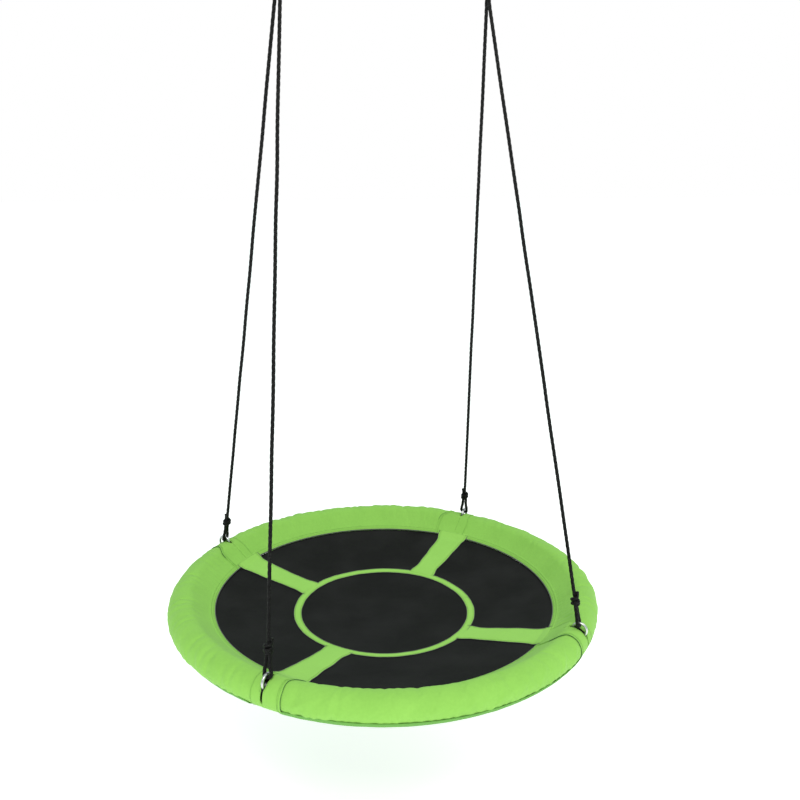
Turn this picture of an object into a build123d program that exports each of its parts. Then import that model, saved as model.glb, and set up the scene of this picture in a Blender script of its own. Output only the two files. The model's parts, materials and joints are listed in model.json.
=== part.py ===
"""Saucer nest swing, in millimetres: a padded ring seat with a cloth mat, on four ropes and two hooks.

The origin is the middle of the line between the two hook seats. +X runs along that line, +Y is the
fore-and-aft direction in which the seat swings, and +Z is up.
"""
import os
from math import atan2, cos, degrees, radians, sin, sqrt

from build123d import *

# Overall sizes
SEAT_DIAMETER = 1000.0  # over the padded rim
HOOK_SPREAD = 442.0  # between the two hook seats
LEG_DROP = 1336.0  # from a top knot's mouth down to the rim's middle plane

# Steel ring frame: four bent tubes, each with a swaged spigot in its neighbour
TUBE_OD = 28.0
TUBE_WALL = 1.5
SPIGOT_CLEARANCE = 0.1
SPIGOT_WALL = 1.5
SPIGOT_ANGLE = 5.0  # degrees of ring that a spigot reaches into the next tube
SPIGOT_ROOT_ANGLE = 4.0
TUBE_END_GAP = 0.4

# Joint bolts and nuts
BOLT_D = 6.0
BOLT_CLEARANCE = 0.2
BOLT_HEAD_D = 12.0
BOLT_HEAD_H = 3.5
NUT_ACROSS_FLATS = 10.0
NUT_H = 5.0
BOLT_ANGLE = 2.5  # degrees past the tube's end
POCKET_CLEARANCE = 2.0

# Welded staples and loose link rings
STAPLE_WIRE_D = 6.0
STAPLE_HALF_WIDTH = 11.0
STAPLE_REACH = 26.0  # from the tube's centre to the middle of the bow
STAPLE_TILT = 55.0  # degrees above level, outwards
LINK_WIRE_D = 6.0
LINK_RING_R = 15.0  # to the middle of the wire
LINK_CLEARANCE = 0.3

# Foam and rim cover
COVER_OD = 64.0
COVER_T = 1.5
FOAM_CLEARANCE = 0.25
FOAM_GAP = 3.4  # degrees left free each side of a staple
PANEL_GAP = 0.3
WRAP_T = 1.5
WRAP_WIDTH = 70.0
WRAP_LOW, WRAP_HIGH = -60.0, 208.0  # degrees round the rim's section, 0 outwards and 90 up
SLIT_WIDTH = 10.0
SLIT_LENGTH = 44.0
SLIT_ANGLE = 69.0  # middle of the slit round the rim's section
CLOSURE_T = 1.2
CLOSURE_LOW, CLOSURE_HIGH = -84.0, -40.0
CLOSURE_TURNS = 4
CLOSURE_MARGIN = 7.0  # degrees that a closure strip stops short of a hanging point

# Dished mat and its trims
MAT_RIM_GAP = 34.5  # radial width of the hem between the mat and the rim's inner side
MAT_T = 3.0
MAT_EDGE_DROP = 10.0  # below the rim's middle plane
MAT_SAG = 46.0
CENTRE_RING_OUTER = 218.0
CENTRE_RING_WIDTH = 18.0
STRIP_T = 1.5
STRIP_INNER_WIDTH = 55.0
STRIP_OUTER_WIDTH = 68.0
HEM_T = 4.0
HEM_RISE = 1.5  # of the hem's top above the mat's edge
PIPING_D = 4.0
PIPING_SINK = 0.8
PIPING_INSET = 3.0

# Ropes, eyes and knots
ROPE_D = 8.0
EYE_CLEARANCE = 1.0
EYE_LENGTH = 35.0  # from the link ring's wire to the knot
STRAND_GAP = 0.4  # between two strands side by side
KNOT_D = 20.0
KNOT_LENGTH = 28.0
KNOT_ROUND = 5.0
TOP_KNOT_D = 26.0
TOP_KNOT_LENGTH = 50.0
BIGHT_LENGTH = 35.0  # from the top ring's wire to the top knot
BIGHT_CLEARANCE = {"left": 0.6, "right": 2.9}  # the right one is the open pivot

# Top rings and snap hooks
TOP_WIRE_D = 8.0
TOP_RING_R = 22.0
RING_SEAT_CLEARANCE = 0.3
HOOK_WIRE_D = 8.0
HOOK_INNER_LENGTH = 62.0
HOOK_INNER_WIDTH = 24.0
GATE_D = 6.6
GATE_TOP = -15.0
GATE_PIVOT_Z = -44.0
GATE_NOSE_GAP = 0.4
GATE_CLEARANCE = 0.2  # between the bar's shoulder and the hook's rounded fork
GATE_BOSS_D = 6.0
GATE_TONGUE_T = 2.6
FORK_SLOT = 3.0
FORK_DEPTH = 9.0  # from the fork's rounded end
GATE_PIN_D = 2.4
GATE_PIN_CLEARANCE = 0.05

# Worked out from the sizes above
RIM_R = (SEAT_DIAMETER - COVER_OD) / 2
HOOK_X = HOOK_SPREAD / 2
HOOK_AXIS_Z = -HOOK_INNER_LENGTH - HOOK_WIRE_D / 2
RING_CENTRE_Z = HOOK_AXIS_Z + (HOOK_WIRE_D + TOP_WIRE_D) / 2 + RING_SEAT_CLEARANCE - TOP_RING_R
RING_LOW_Z = RING_CENTRE_Z - TOP_RING_R
KNOT_TOP_Z = RING_LOW_Z - BIGHT_LENGTH
KNOT_MOUTH_Z = KNOT_TOP_Z - TOP_KNOT_LENGTH
SEAT_Z = KNOT_MOUTH_Z - LEG_DROP
MAT_R = RIM_R - COVER_OD / 2 - MAT_RIM_GAP
DISH_R = (MAT_R**2 + MAT_SAG**2) / (2 * MAT_SAG)
HEM_TOP = -MAT_EDGE_DROP + HEM_RISE
LEGS = {"front_left": 225.0, "front_right": 315.0, "back_right": 45.0, "back_left": 135.0}
SIDES = {"left": -1.0, "right": 1.0}


def save(name, shape):
    """Write one sub-part, in the swing's own frame."""
    export_step(shape, f"parts/{name}.step")


def seated(shape, angle=0.0):
    """Turn a shape made about the seat's centre to a place on the ring, and lower it to the seat."""
    return Location((0, 0, SEAT_Z)) * Rotation(0, 0, angle) * shape


def section_point(radius, angle):
    """A point on the rim's section, angle 0 pointing outwards and 90 up."""
    return Vector(RIM_R + radius * cos(radians(angle)), 0, radius * sin(radians(angle)))


def ring_band(inner, outer, low, high, start, stop):
    """Part of a torus shell: radii and angles in the section, then angles round the ring."""
    edges = [
        ThreePointArc(*(section_point(outer, a) for a in (low, (low + high) / 2, high))),
        Line(section_point(outer, high), section_point(inner, high)),
        ThreePointArc(*(section_point(inner, a) for a in (high, (low + high) / 2, low))),
        Line(section_point(inner, low), section_point(outer, low)),
    ]
    band = revolve(make_face(edges), Axis.Z, stop - start)
    return Rotation(0, 0, start) * band


def ring_tube(inner, outer, start, stop):
    """A bent tube with the whole section, from one angle round the ring to another."""
    disc = Location((RIM_R, 0, 0), (90, 0, 0)) * Circle(outer)
    hole = Location((RIM_R, 0, 0), (90, 0, 0)) * Circle(inner)
    return Rotation(0, 0, start) * revolve(disc - hole, Axis.Z, stop - start)


def ring_rod(outer, start, stop):
    """A bent solid rod."""
    disc = Location((RIM_R, 0, 0), (90, 0, 0)) * Circle(outer)
    return Rotation(0, 0, start) * revolve(disc, Axis.Z, stop - start)


def bolt_hole(angle, diameter, length):
    """An upright cylinder through the tube at an angle round the ring."""
    return Rotation(0, 0, angle) * Location((RIM_R, 0, 0)) * Cylinder(diameter / 2, length)


def frame_tube():
    """A quarter of the ring, middle at angle 0, with the spigot at its far end."""
    bore = TUBE_OD / 2 - TUBE_WALL
    half_gap = degrees(TUBE_END_GAP / 2 / RIM_R)
    tube = ring_tube(bore, TUBE_OD / 2, -45 + half_gap, 45 - half_gap)
    root = ring_tube(bore - SPIGOT_WALL, bore, 45 - SPIGOT_ROOT_ANGLE, 45 - half_gap)
    spigot_r = bore - SPIGOT_CLEARANCE
    spigot = ring_tube(bore - SPIGOT_WALL, spigot_r, 45 - SPIGOT_ROOT_ANGLE, 45 + SPIGOT_ANGLE)
    hole_d = BOLT_D + 2 * BOLT_CLEARANCE
    body = tube + root + spigot
    for angle in (-45 + BOLT_ANGLE, 45 + BOLT_ANGLE):
        body -= bolt_hole(angle, hole_d, 2 * TUBE_OD)
    return body


def joint_bolt():
    """A button-head bolt through a tube joint, before it is turned to its place."""
    top = TUBE_OD / 2
    shank = Location((RIM_R, 0, -NUT_H / 2)) * Cylinder(BOLT_D / 2, TUBE_OD + NUT_H)
    head = Location((RIM_R, 0, top + BOLT_HEAD_H / 2)) * Cylinder(BOLT_HEAD_D / 2, BOLT_HEAD_H)
    head = fillet(head.edges().group_by(Axis.Z)[-1], BOLT_HEAD_H / 2)
    return shank + head


def joint_nut():
    """A hexagon nut under the tube joint, bored to the bolt."""
    outline = RegularPolygon(NUT_ACROSS_FLATS / 2, 6, major_radius=False) - Circle(BOLT_D / 2)
    return Location((RIM_R, 0, -TUBE_OD / 2 - NUT_H)) * extrude(outline, NUT_H)


def foam_sleeve():
    """A foam tube between two hanging points, middle at angle 0, with a pocket for the bolt."""
    outer = COVER_OD / 2 - COVER_T - FOAM_CLEARANCE
    sleeve = ring_tube(TUBE_OD / 2, outer, -45 + FOAM_GAP, 45 - FOAM_GAP)
    pocket_d = BOLT_HEAD_D + 2 * POCKET_CLEARANCE
    pocket_h = TUBE_OD + 2 * (NUT_H + POCKET_CLEARANCE)
    return sleeve - bolt_hole(BOLT_ANGLE, pocket_d, pocket_h)


def slit():
    """The opening that a link ring stands in, at angle 0."""
    middle = section_point(COVER_OD / 2, SLIT_ANGLE)
    block = Box(COVER_OD / 2, SLIT_WIDTH, SLIT_LENGTH)
    return Location((middle.X, 0, middle.Z), (0, -SLIT_ANGLE, 0)) * block


def rim_cover():
    """A quarter of the cloth rim cover, middle at angle 0, slit at both ends."""
    half_gap = degrees(PANEL_GAP / 2 / RIM_R)
    cover = ring_tube(COVER_OD / 2 - COVER_T, COVER_OD / 2, -45 + half_gap, 45 - half_gap)
    for angle in (-45, 45):
        cover -= Rotation(0, 0, angle) * slit()
    return cover


def strap_wrap():
    """The outer end of a strip, wrapped over the rim cover at a hanging point."""
    half = degrees(WRAP_WIDTH / 2 / RIM_R)
    wrap = ring_band(COVER_OD / 2, COVER_OD / 2 + WRAP_T, WRAP_LOW, WRAP_HIGH, -half, half)
    return wrap - slit()


def cover_closure():
    """The hook-and-loop strip that shuts a cover panel underneath, in flat turns, middle at angle 0."""
    half = 45 - CLOSURE_MARGIN
    step = (CLOSURE_HIGH - CLOSURE_LOW) / CLOSURE_TURNS
    angles = [CLOSURE_LOW + step * turn for turn in range(CLOSURE_TURNS + 1)]
    inner = COVER_OD / 2 / cos(radians(step / 2))
    corners = [section_point(inner, angle) for angle in angles]
    for angle in reversed(angles):
        corners.append(section_point(inner + CLOSURE_T, angle))
    strip = revolve(make_face(Polyline(*corners, close=True)), Axis.Z, 2 * half)
    return Rotation(0, 0, -half) * strip


def dish_shell(inner, outer, lift_low, lift_high):
    """A ring cut from the dished mat's sphere, between two heights above the mat's top face."""
    centre = DISH_R - MAT_EDGE_DROP - MAT_SAG

    def point(radius, lift):
        return Vector(radius, 0, centre - sqrt((DISH_R - lift) ** 2 - radius**2))

    middle = (inner + outer) / 2
    edges = [
        ThreePointArc(*(point(r, lift_low) for r in (inner, middle, outer))),
        Line(point(outer, lift_low), point(outer, lift_high)),
        ThreePointArc(*(point(r, lift_high) for r in (outer, middle, inner))),
        Line(point(inner, lift_high), point(inner, lift_low)),
    ]
    return revolve(make_face(edges), Axis.Z, 360)


def green_strip():
    """A strip from the centre ring to the hem, along angle 0, a little wider at the rim."""
    inner, outer = STRIP_INNER_WIDTH / 2, STRIP_OUTER_WIDTH / 2
    outline = Polyline(
        (0, -inner), (CENTRE_RING_OUTER, -inner), (MAT_R, -outer), (MAT_R, outer),
        (CENTRE_RING_OUTER, inner), (0, inner), close=True,
    )
    wedge = extrude(make_face(outline), SEAT_DIAMETER, both=True)
    return dish_shell(CENTRE_RING_OUTER, MAT_R - 0.01, 0, STRIP_T) & wedge


def hem_band():
    """The flat hem that joins the mat's edge to the inner side of the rim cover."""
    band = Cylinder(RIM_R, HEM_T) - Cylinder(MAT_R, 2 * HEM_T)
    band = Location((0, 0, HEM_TOP - HEM_T / 2)) * band
    rim = Torus(RIM_R, COVER_OD / 2)
    half = degrees((WRAP_WIDTH / 2 + 1) / RIM_R)
    band -= rim
    for angle in LEGS.values():
        sector = Rotation(0, 0, angle) * ring_rod(COVER_OD / 2 + WRAP_T, -half, half)
        band -= sector
    return band


def edge_piping():
    """The corded edge that is sewn on the hem, eight-sided, flat where it meets the hem."""
    radius = PIPING_D / 2
    middle = MAT_R + PIPING_INSET
    height = HEM_TOP + radius - PIPING_SINK
    foot = sqrt(radius**2 - (radius - PIPING_SINK) ** 2)
    corners = [(middle + foot, 0, HEM_TOP)]
    for angle in range(0, 181, 45):
        corners.append((middle + radius * cos(radians(angle)), 0, height + radius * sin(radians(angle))))
    corners.append((middle - foot, 0, HEM_TOP))
    return revolve(make_face(Polyline(*corners, close=True)), Axis.Z, 360)


def staple_bow():
    """The middle of the staple's bow, at angle 0."""
    return section_point(STAPLE_REACH, STAPLE_TILT)


def hanging_staple():
    """A bent rod welded on the tube, its bow across the rim's section, at angle 0."""
    half = STAPLE_HALF_WIDTH
    shoulder = STAPLE_REACH - half
    root = TUBE_OD / 2 - TUBE_WALL - 2
    path = [
        Line((-half, root), (-half, shoulder)),
        ThreePointArc((-half, shoulder), (0, STAPLE_REACH), (half, shoulder)),
        Line((half, shoulder), (half, root)),
    ]
    outward = Vector(cos(radians(STAPLE_TILT)), 0, sin(radians(STAPLE_TILT)))
    plane = Plane(origin=(RIM_R, 0, 0), x_dir=(0, 1, 0), z_dir=Vector(0, 1, 0).cross(outward))
    wire = plane * Wire(path)
    staple = sweep(Plane(wire @ 0, z_dir=wire % 0) * Circle(STAPLE_WIRE_D / 2), path=wire)
    return staple - ring_rod(TUBE_OD / 2, -5, 5)


def leg_end(leg):
    """Where a leg's rope enters its top knot: side by side on the left, one behind another on the right."""
    front = leg.startswith("front")
    step = (ROPE_D + STRAND_GAP) / 2
    if leg.endswith("left"):
        return Vector(-HOOK_X + (step if front else -step), 0, KNOT_MOUTH_Z)
    return Vector(HOOK_X, -step if front else step, KNOT_MOUTH_Z)


def leg_axes(leg):
    """A leg's link ring wire, the rope's direction up from it, and the ring's own lean."""
    angle = radians(LEGS[leg])
    outward = Vector(cos(angle), sin(angle), 0)
    bow = staple_bow()
    bow = outward * bow.X + Vector(0, 0, SEAT_Z + bow.Z)
    lean = (leg_end(leg) - bow).normalized()
    flat = Vector(lean.dot(outward), 0, lean.Z).normalized()
    lean_in_plane = outward * flat.X + Vector(0, 0, flat.Z)
    step = LINK_RING_R - (STAPLE_WIRE_D + LINK_WIRE_D) / 2 - LINK_CLEARANCE
    centre = bow + lean_in_plane * step
    wire = centre + lean_in_plane * LINK_RING_R
    return centre, wire, (leg_end(leg) - wire).normalized()


def link_ring(leg):
    """A welded ring that stands in the slit and hooks the rope's eye to the staple."""
    angle = radians(LEGS[leg])
    across = Vector(-sin(angle), cos(angle), 0)
    return Plane(leg_axes(leg)[0], z_dir=across) * Torus(LINK_RING_R, LINK_WIRE_D / 2)


def loop_wire(radius, height, half_width):
    """A loop that comes up one strand, round an arc about the origin and down the other."""
    reach = sqrt(half_width**2 + height**2)
    turn = atan2(height, half_width) - radians(90) + atan2(radius, sqrt(reach**2 - radius**2))
    touch = (radius * cos(turn), radius * sin(turn))
    return [
        Line((half_width, height), touch),
        ThreePointArc(touch, (0, -radius), (-touch[0], touch[1])),
        Line((-touch[0], touch[1]), (-half_width, height)),
    ]


def rope_loop(plane, radius, height):
    """A rope loop in a plane, its arc round the plane's origin and its two strands up to a knot."""
    wire = plane * Wire(loop_wire(radius, height, (ROPE_D + STRAND_GAP) / 2))
    return sweep(Plane(wire @ 0, z_dir=wire % 0) * Circle(ROPE_D / 2), path=wire)


def eye_plane(leg):
    """The plane of a rope's lower eye: its y axis runs up the rope."""
    wire, up = leg_axes(leg)[1:]
    angle = radians(LEGS[leg])
    radial = Vector(cos(angle), sin(angle), 0)
    normal = (radial - up * radial.dot(up)).normalized()
    return Plane(wire, x_dir=up.cross(normal), z_dir=normal)


def knot_solid(start, direction, diameter, length):
    """A knot's outer shape: a short round body with softened ends."""
    body = Cylinder(diameter / 2, length, align=(Align.CENTER, Align.CENTER, Align.MIN))
    body = fillet(body.edges().filter_by(GeomType.CIRCLE), KNOT_ROUND)
    return Plane(start, z_dir=direction) * body


def lower_eye(leg):
    """The eye that the rope makes round its link ring."""
    radius = (LINK_WIRE_D + ROPE_D) / 2 + EYE_CLEARANCE
    print("lower eye radius", leg, radius)
    loop = rope_loop(eye_plane(leg), radius, EYE_LENGTH + KNOT_ROUND)
    return loop - lower_knot(leg)


def lower_knot(leg):
    """The knot above the lower eye."""
    wire, up = leg_axes(leg)[1:]
    return knot_solid(wire + up * EYE_LENGTH, up, KNOT_D, KNOT_LENGTH)


def rope(leg):
    """A leg of rope, one straight run between its two knots."""
    wire, up = leg_axes(leg)[1:]
    start = wire + up * (EYE_LENGTH + KNOT_LENGTH)
    run = (leg_end(leg) - start).length
    print("rope", leg, "straight run", round(run, 1))
    body = Cylinder(ROPE_D / 2, run + KNOT_ROUND, align=(Align.CENTER, Align.CENTER, Align.MIN))
    side = leg.split("_")[1]
    return Plane(start, z_dir=up) * body - top_knot(side)


def top_knot(side):
    """The knot that gathers two legs below the top ring."""
    start = Vector(SIDES[side] * HOOK_X, 0, KNOT_MOUTH_Z)
    return knot_solid(start, Vector(0, 0, 1), TOP_KNOT_D, TOP_KNOT_LENGTH)


def top_bight(side):
    """The bight that hangs over the top ring's wire."""
    radius = (TOP_WIRE_D + ROPE_D) / 2 + BIGHT_CLEARANCE[side]
    print("top bight radius", side, radius)
    origin = (SIDES[side] * HOOK_X, 0, RING_LOW_Z)
    plane = Plane(origin, x_dir=(1, 0, 0), z_dir=(0, 1, 0))
    return rope_loop(plane, radius, BIGHT_LENGTH + KNOT_ROUND) - top_knot(side)


def top_ring(side):
    """The ring that rocks on the snap hook, in the fore-and-aft plane."""
    centre = (SIDES[side] * HOOK_X, 0, RING_CENTRE_Z)
    return Plane(centre, z_dir=(1, 0, 0)) * Torus(TOP_RING_R, TOP_WIRE_D / 2)


def hook_outline():
    """The middle line of the hook's wire, from the nose over the top and round to the gate's root."""
    half = (HOOK_INNER_WIDTH + HOOK_WIRE_D) / 2
    top = HOOK_WIRE_D / 2 - half
    bottom = HOOK_AXIS_Z + half
    return [
        Line((half, GATE_TOP + GATE_NOSE_GAP), (half, top)),
        ThreePointArc((half, top), (0, top + half), (-half, top)),
        Line((-half, top), (-half, bottom)),
        ThreePointArc((-half, bottom), (0, bottom - half), (half, bottom)),
        Line((half, bottom), (half, GATE_PIVOT_Z + HOOK_WIRE_D / 2)),
    ]


def hook_frame(side):
    """The plane that a hook is drawn in: its x axis points outwards, to the gate."""
    origin = (SIDES[side] * HOOK_X, 0, 0)
    return Plane(origin, x_dir=(SIDES[side], 0, 0), z_dir=(0, -SIDES[side], 0))


def gate_place(side):
    """The gate pin's centre."""
    half = (HOOK_INNER_WIDTH + HOOK_WIRE_D) / 2
    return (SIDES[side] * (HOOK_X + half), 0, GATE_PIVOT_Z)


def snap_hook(side):
    """The hook's bent wire, forked at its lower end for the gate."""
    wire = hook_frame(side) * Wire(hook_outline())
    body = sweep(Plane(wire @ 0, z_dir=wire % 0) * Circle(HOOK_WIRE_D / 2), path=wire)
    x, y, z = gate_place(side)
    slot_middle = z + HOOK_WIRE_D / 2 - FORK_DEPTH / 2
    slot = Location((x, y, slot_middle)) * Box(2 * HOOK_WIRE_D, FORK_SLOT, FORK_DEPTH)
    across = Location((x, y, z), (90, 0, 0))
    pin_hole = across * Cylinder(GATE_PIN_D / 2, 2 * HOOK_WIRE_D)
    over = Location((x, y, z + HOOK_WIRE_D / 2)) * Box(HOOK_WIRE_D, HOOK_WIRE_D, HOOK_WIRE_D)
    crown = over - across * Cylinder(HOOK_WIRE_D / 2, 2 * HOOK_WIRE_D)
    return body - crown - slot - pin_hole


def gate(side):
    """The sprung gate: a round bar with a flat tongue that turns on the pin."""
    x, y, z = gate_place(side)
    shoulder = z + HOOK_WIRE_D / 2 + GATE_CLEARANCE
    bar_h = GATE_TOP - shoulder - GATE_NOSE_GAP / 2
    bar = Location((x, y, shoulder + bar_h / 2)) * Cylinder(GATE_D / 2, bar_h)
    tongue_h = shoulder - z + GATE_CLEARANCE
    tongue = Location((x, y, z + tongue_h / 2)) * Box(GATE_D / 2, GATE_TONGUE_T, tongue_h)
    boss = Location((x, y, z), (90, 0, 0)) * Cylinder(GATE_BOSS_D / 2, GATE_TONGUE_T)
    hole_r = GATE_PIN_D / 2 + GATE_PIN_CLEARANCE
    hole = Location((x, y, z), (90, 0, 0)) * Cylinder(hole_r, 2 * HOOK_WIRE_D)
    return bar + tongue + boss - hole


def gate_pin(side):
    """The riveted pin that the gate turns on."""
    x, y, z = gate_place(side)
    return Location((x, y, z), (90, 0, 0)) * Cylinder(GATE_PIN_D / 2, HOOK_WIRE_D)


def build_rim():
    """The frame, its fasteners, the foam and the cloth round the rim."""
    for leg, angle in LEGS.items():
        save(f"frame_tube_{leg}", seated(frame_tube(), angle))
        save(f"hanging_staple_{leg}", seated(hanging_staple(), angle))
        save(f"link_ring_{leg}", link_ring(leg))
        save(f"strap_wrap_{leg}", seated(strap_wrap(), angle))
        save(f"green_strip_{leg}", seated(green_strip(), angle))
    quarters = {"right": 0.0, "back": 90.0, "left": 180.0, "front": 270.0}
    for place, angle in quarters.items():
        save(f"foam_sleeve_{place}", seated(foam_sleeve(), angle))
        save(f"rim_cover_{place}", seated(rim_cover(), angle))
    angles = list(quarters.values())
    save("joint_bolts", Compound([seated(joint_bolt(), a + BOLT_ANGLE) for a in angles]))
    save("joint_nuts", Compound([seated(joint_nut(), a + BOLT_ANGLE) for a in angles]))
    save("cover_closures", Compound([seated(cover_closure(), a) for a in angles]))


def build_mat():
    """The dished mat and what is sewn on it."""
    save("seat_mat", seated(dish_shell(0.0, MAT_R - 0.01, -MAT_T, 0)))
    inner = CENTRE_RING_OUTER - CENTRE_RING_WIDTH
    save("centre_ring", seated(dish_shell(inner, CENTRE_RING_OUTER, 0, STRIP_T)))
    save("hem_band", seated(hem_band()))
    save("edge_piping", seated(edge_piping()))


def build_ropes():
    """Four legs with their knots and eyes, and the two gathered tops."""
    for leg in LEGS:
        save(f"rope_{leg}", rope(leg))
        save(f"lower_knot_{leg}", lower_knot(leg))
        save(f"lower_eye_{leg}", lower_eye(leg))
    for side in SIDES:
        save(f"top_knot_{side}", top_knot(side))
        save(f"top_bight_{side}", top_bight(side))
        save(f"top_ring_{side}", top_ring(side))


def build_hooks():
    """The two snap hooks with their gates and pins."""
    for side in SIDES:
        save(f"snap_hook_{side}", snap_hook(side))
        save(f"gate_{side}", gate(side))
        save(f"gate_pin_{side}", gate_pin(side))


os.makedirs("parts", exist_ok=True)
build_rim()
build_mat()
build_ropes()
build_hooks()
for leg in LEGS:
    centre, wire, up = leg_axes(leg)
    print(leg, "ring centre", centre, "ring wire", wire, "rope direction", up)
print("seat plane", SEAT_Z, "hook axis", HOOK_AXIS_Z, "ring low wire", RING_LOW_Z, "mouth", KNOT_MOUTH_Z)
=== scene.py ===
"""The looks of a saucer nest swing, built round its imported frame.

Every length is in metres, in the frame's own axes: the origin is the middle of the line between the
two hook seats, +X runs along that line, +Y is fore and aft, and +Z is up.
"""

import json
import logging
import math
from dataclasses import dataclass, field
from enum import Enum
from typing import Sequence

import bmesh
import bpy
import numpy as np
from mathutils import Matrix, Vector, noise


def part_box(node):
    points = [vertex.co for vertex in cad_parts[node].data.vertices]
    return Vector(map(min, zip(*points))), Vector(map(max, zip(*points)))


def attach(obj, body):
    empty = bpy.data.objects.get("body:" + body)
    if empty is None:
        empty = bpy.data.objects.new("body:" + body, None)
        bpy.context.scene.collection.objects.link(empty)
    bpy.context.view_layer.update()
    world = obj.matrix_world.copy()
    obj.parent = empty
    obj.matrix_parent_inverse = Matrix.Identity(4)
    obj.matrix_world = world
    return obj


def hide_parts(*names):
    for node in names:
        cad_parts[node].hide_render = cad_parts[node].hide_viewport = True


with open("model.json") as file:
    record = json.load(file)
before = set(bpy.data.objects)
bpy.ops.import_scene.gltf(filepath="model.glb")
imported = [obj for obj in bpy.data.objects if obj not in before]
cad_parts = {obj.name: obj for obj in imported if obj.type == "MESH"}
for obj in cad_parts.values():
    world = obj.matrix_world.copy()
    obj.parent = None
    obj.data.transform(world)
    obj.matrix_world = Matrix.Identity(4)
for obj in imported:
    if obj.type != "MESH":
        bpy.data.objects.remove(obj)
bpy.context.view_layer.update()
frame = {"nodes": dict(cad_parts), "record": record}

logging.basicConfig(level=logging.INFO, format="%(name)s: %(message)s")
LOG = logging.getLogger("swing")

Colour = tuple[float, float, float]
LEGS: dict[str, float] = {"front_left": 225.0, "front_right": 315.0, "back_right": 45.0, "back_left": 135.0}
QUARTERS: dict[str, float] = {"right": 0.0, "back": 90.0, "left": 180.0, "front": 270.0}
SIDES: dict[str, float] = {"left": -1.0, "right": 1.0}
LAY = "lay"  # a point's place on its cloth or rope: along, across, and how near a seam or edge


# ---------------------------------------------------------------------------------------------
# Shader maths


class Value:
    """A shader socket that is worked with as a number: each operator adds its Math node."""

    def __init__(self, book: "ShaderBook", socket: bpy.types.NodeSocket) -> None:
        """Wrap a socket.

        Args:
            book: the material's node tree that new nodes go into.
            socket: the output socket that carries the number.
        """
        self.book = book
        self.socket = socket

    def _join(self, operation: str, left: object, right: object) -> "Value":
        """Add one Math node for an operation on two values.

        Args:
            operation: the Math node's operation.
            left: the first value.
            right: the second value.

        Returns:
            The result.
        """
        return self.book.node("ShaderNodeMath", {"operation": operation}, {0: left, 1: right})

    def __add__(self, other: object) -> "Value":
        """Sum.

        Args:
            other: the other value.

        Returns:
            The result.
        """
        return self._join("ADD", self, other)

    __radd__ = __add__

    def __sub__(self, other: object) -> "Value":
        """Difference.

        Args:
            other: the other value.

        Returns:
            The result.
        """
        return self._join("SUBTRACT", self, other)

    def __rsub__(self, other: object) -> "Value":
        """Difference, the number first.

        Args:
            other: the other value.

        Returns:
            The result.
        """
        return self._join("SUBTRACT", other, self)

    def __mul__(self, other: object) -> "Value":
        """Product.

        Args:
            other: the other value.

        Returns:
            The result.
        """
        return self._join("MULTIPLY", self, other)

    __rmul__ = __mul__

    def __truediv__(self, other: object) -> "Value":
        """Quotient.

        Args:
            other: the other value.

        Returns:
            The result.
        """
        return self._join("DIVIDE", self, other)

    def __pow__(self, other: object) -> "Value":
        """Power.

        Args:
            other: the other value.

        Returns:
            The result.
        """
        return self._join("POWER", self, other)

    def sine(self) -> "Value":
        """Sine of an angle in radians."""
        return self._join("SINE", self, 0.0)

    def size(self) -> "Value":
        """The number without its sign."""
        return self._join("ABSOLUTE", self, 0.0)

    def at_least(self, other: object) -> "Value":
        """The higher of two.

        Args:
            other: the other value.

        Returns:
            The result.
        """
        return self._join("MAXIMUM", self, other)


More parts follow.
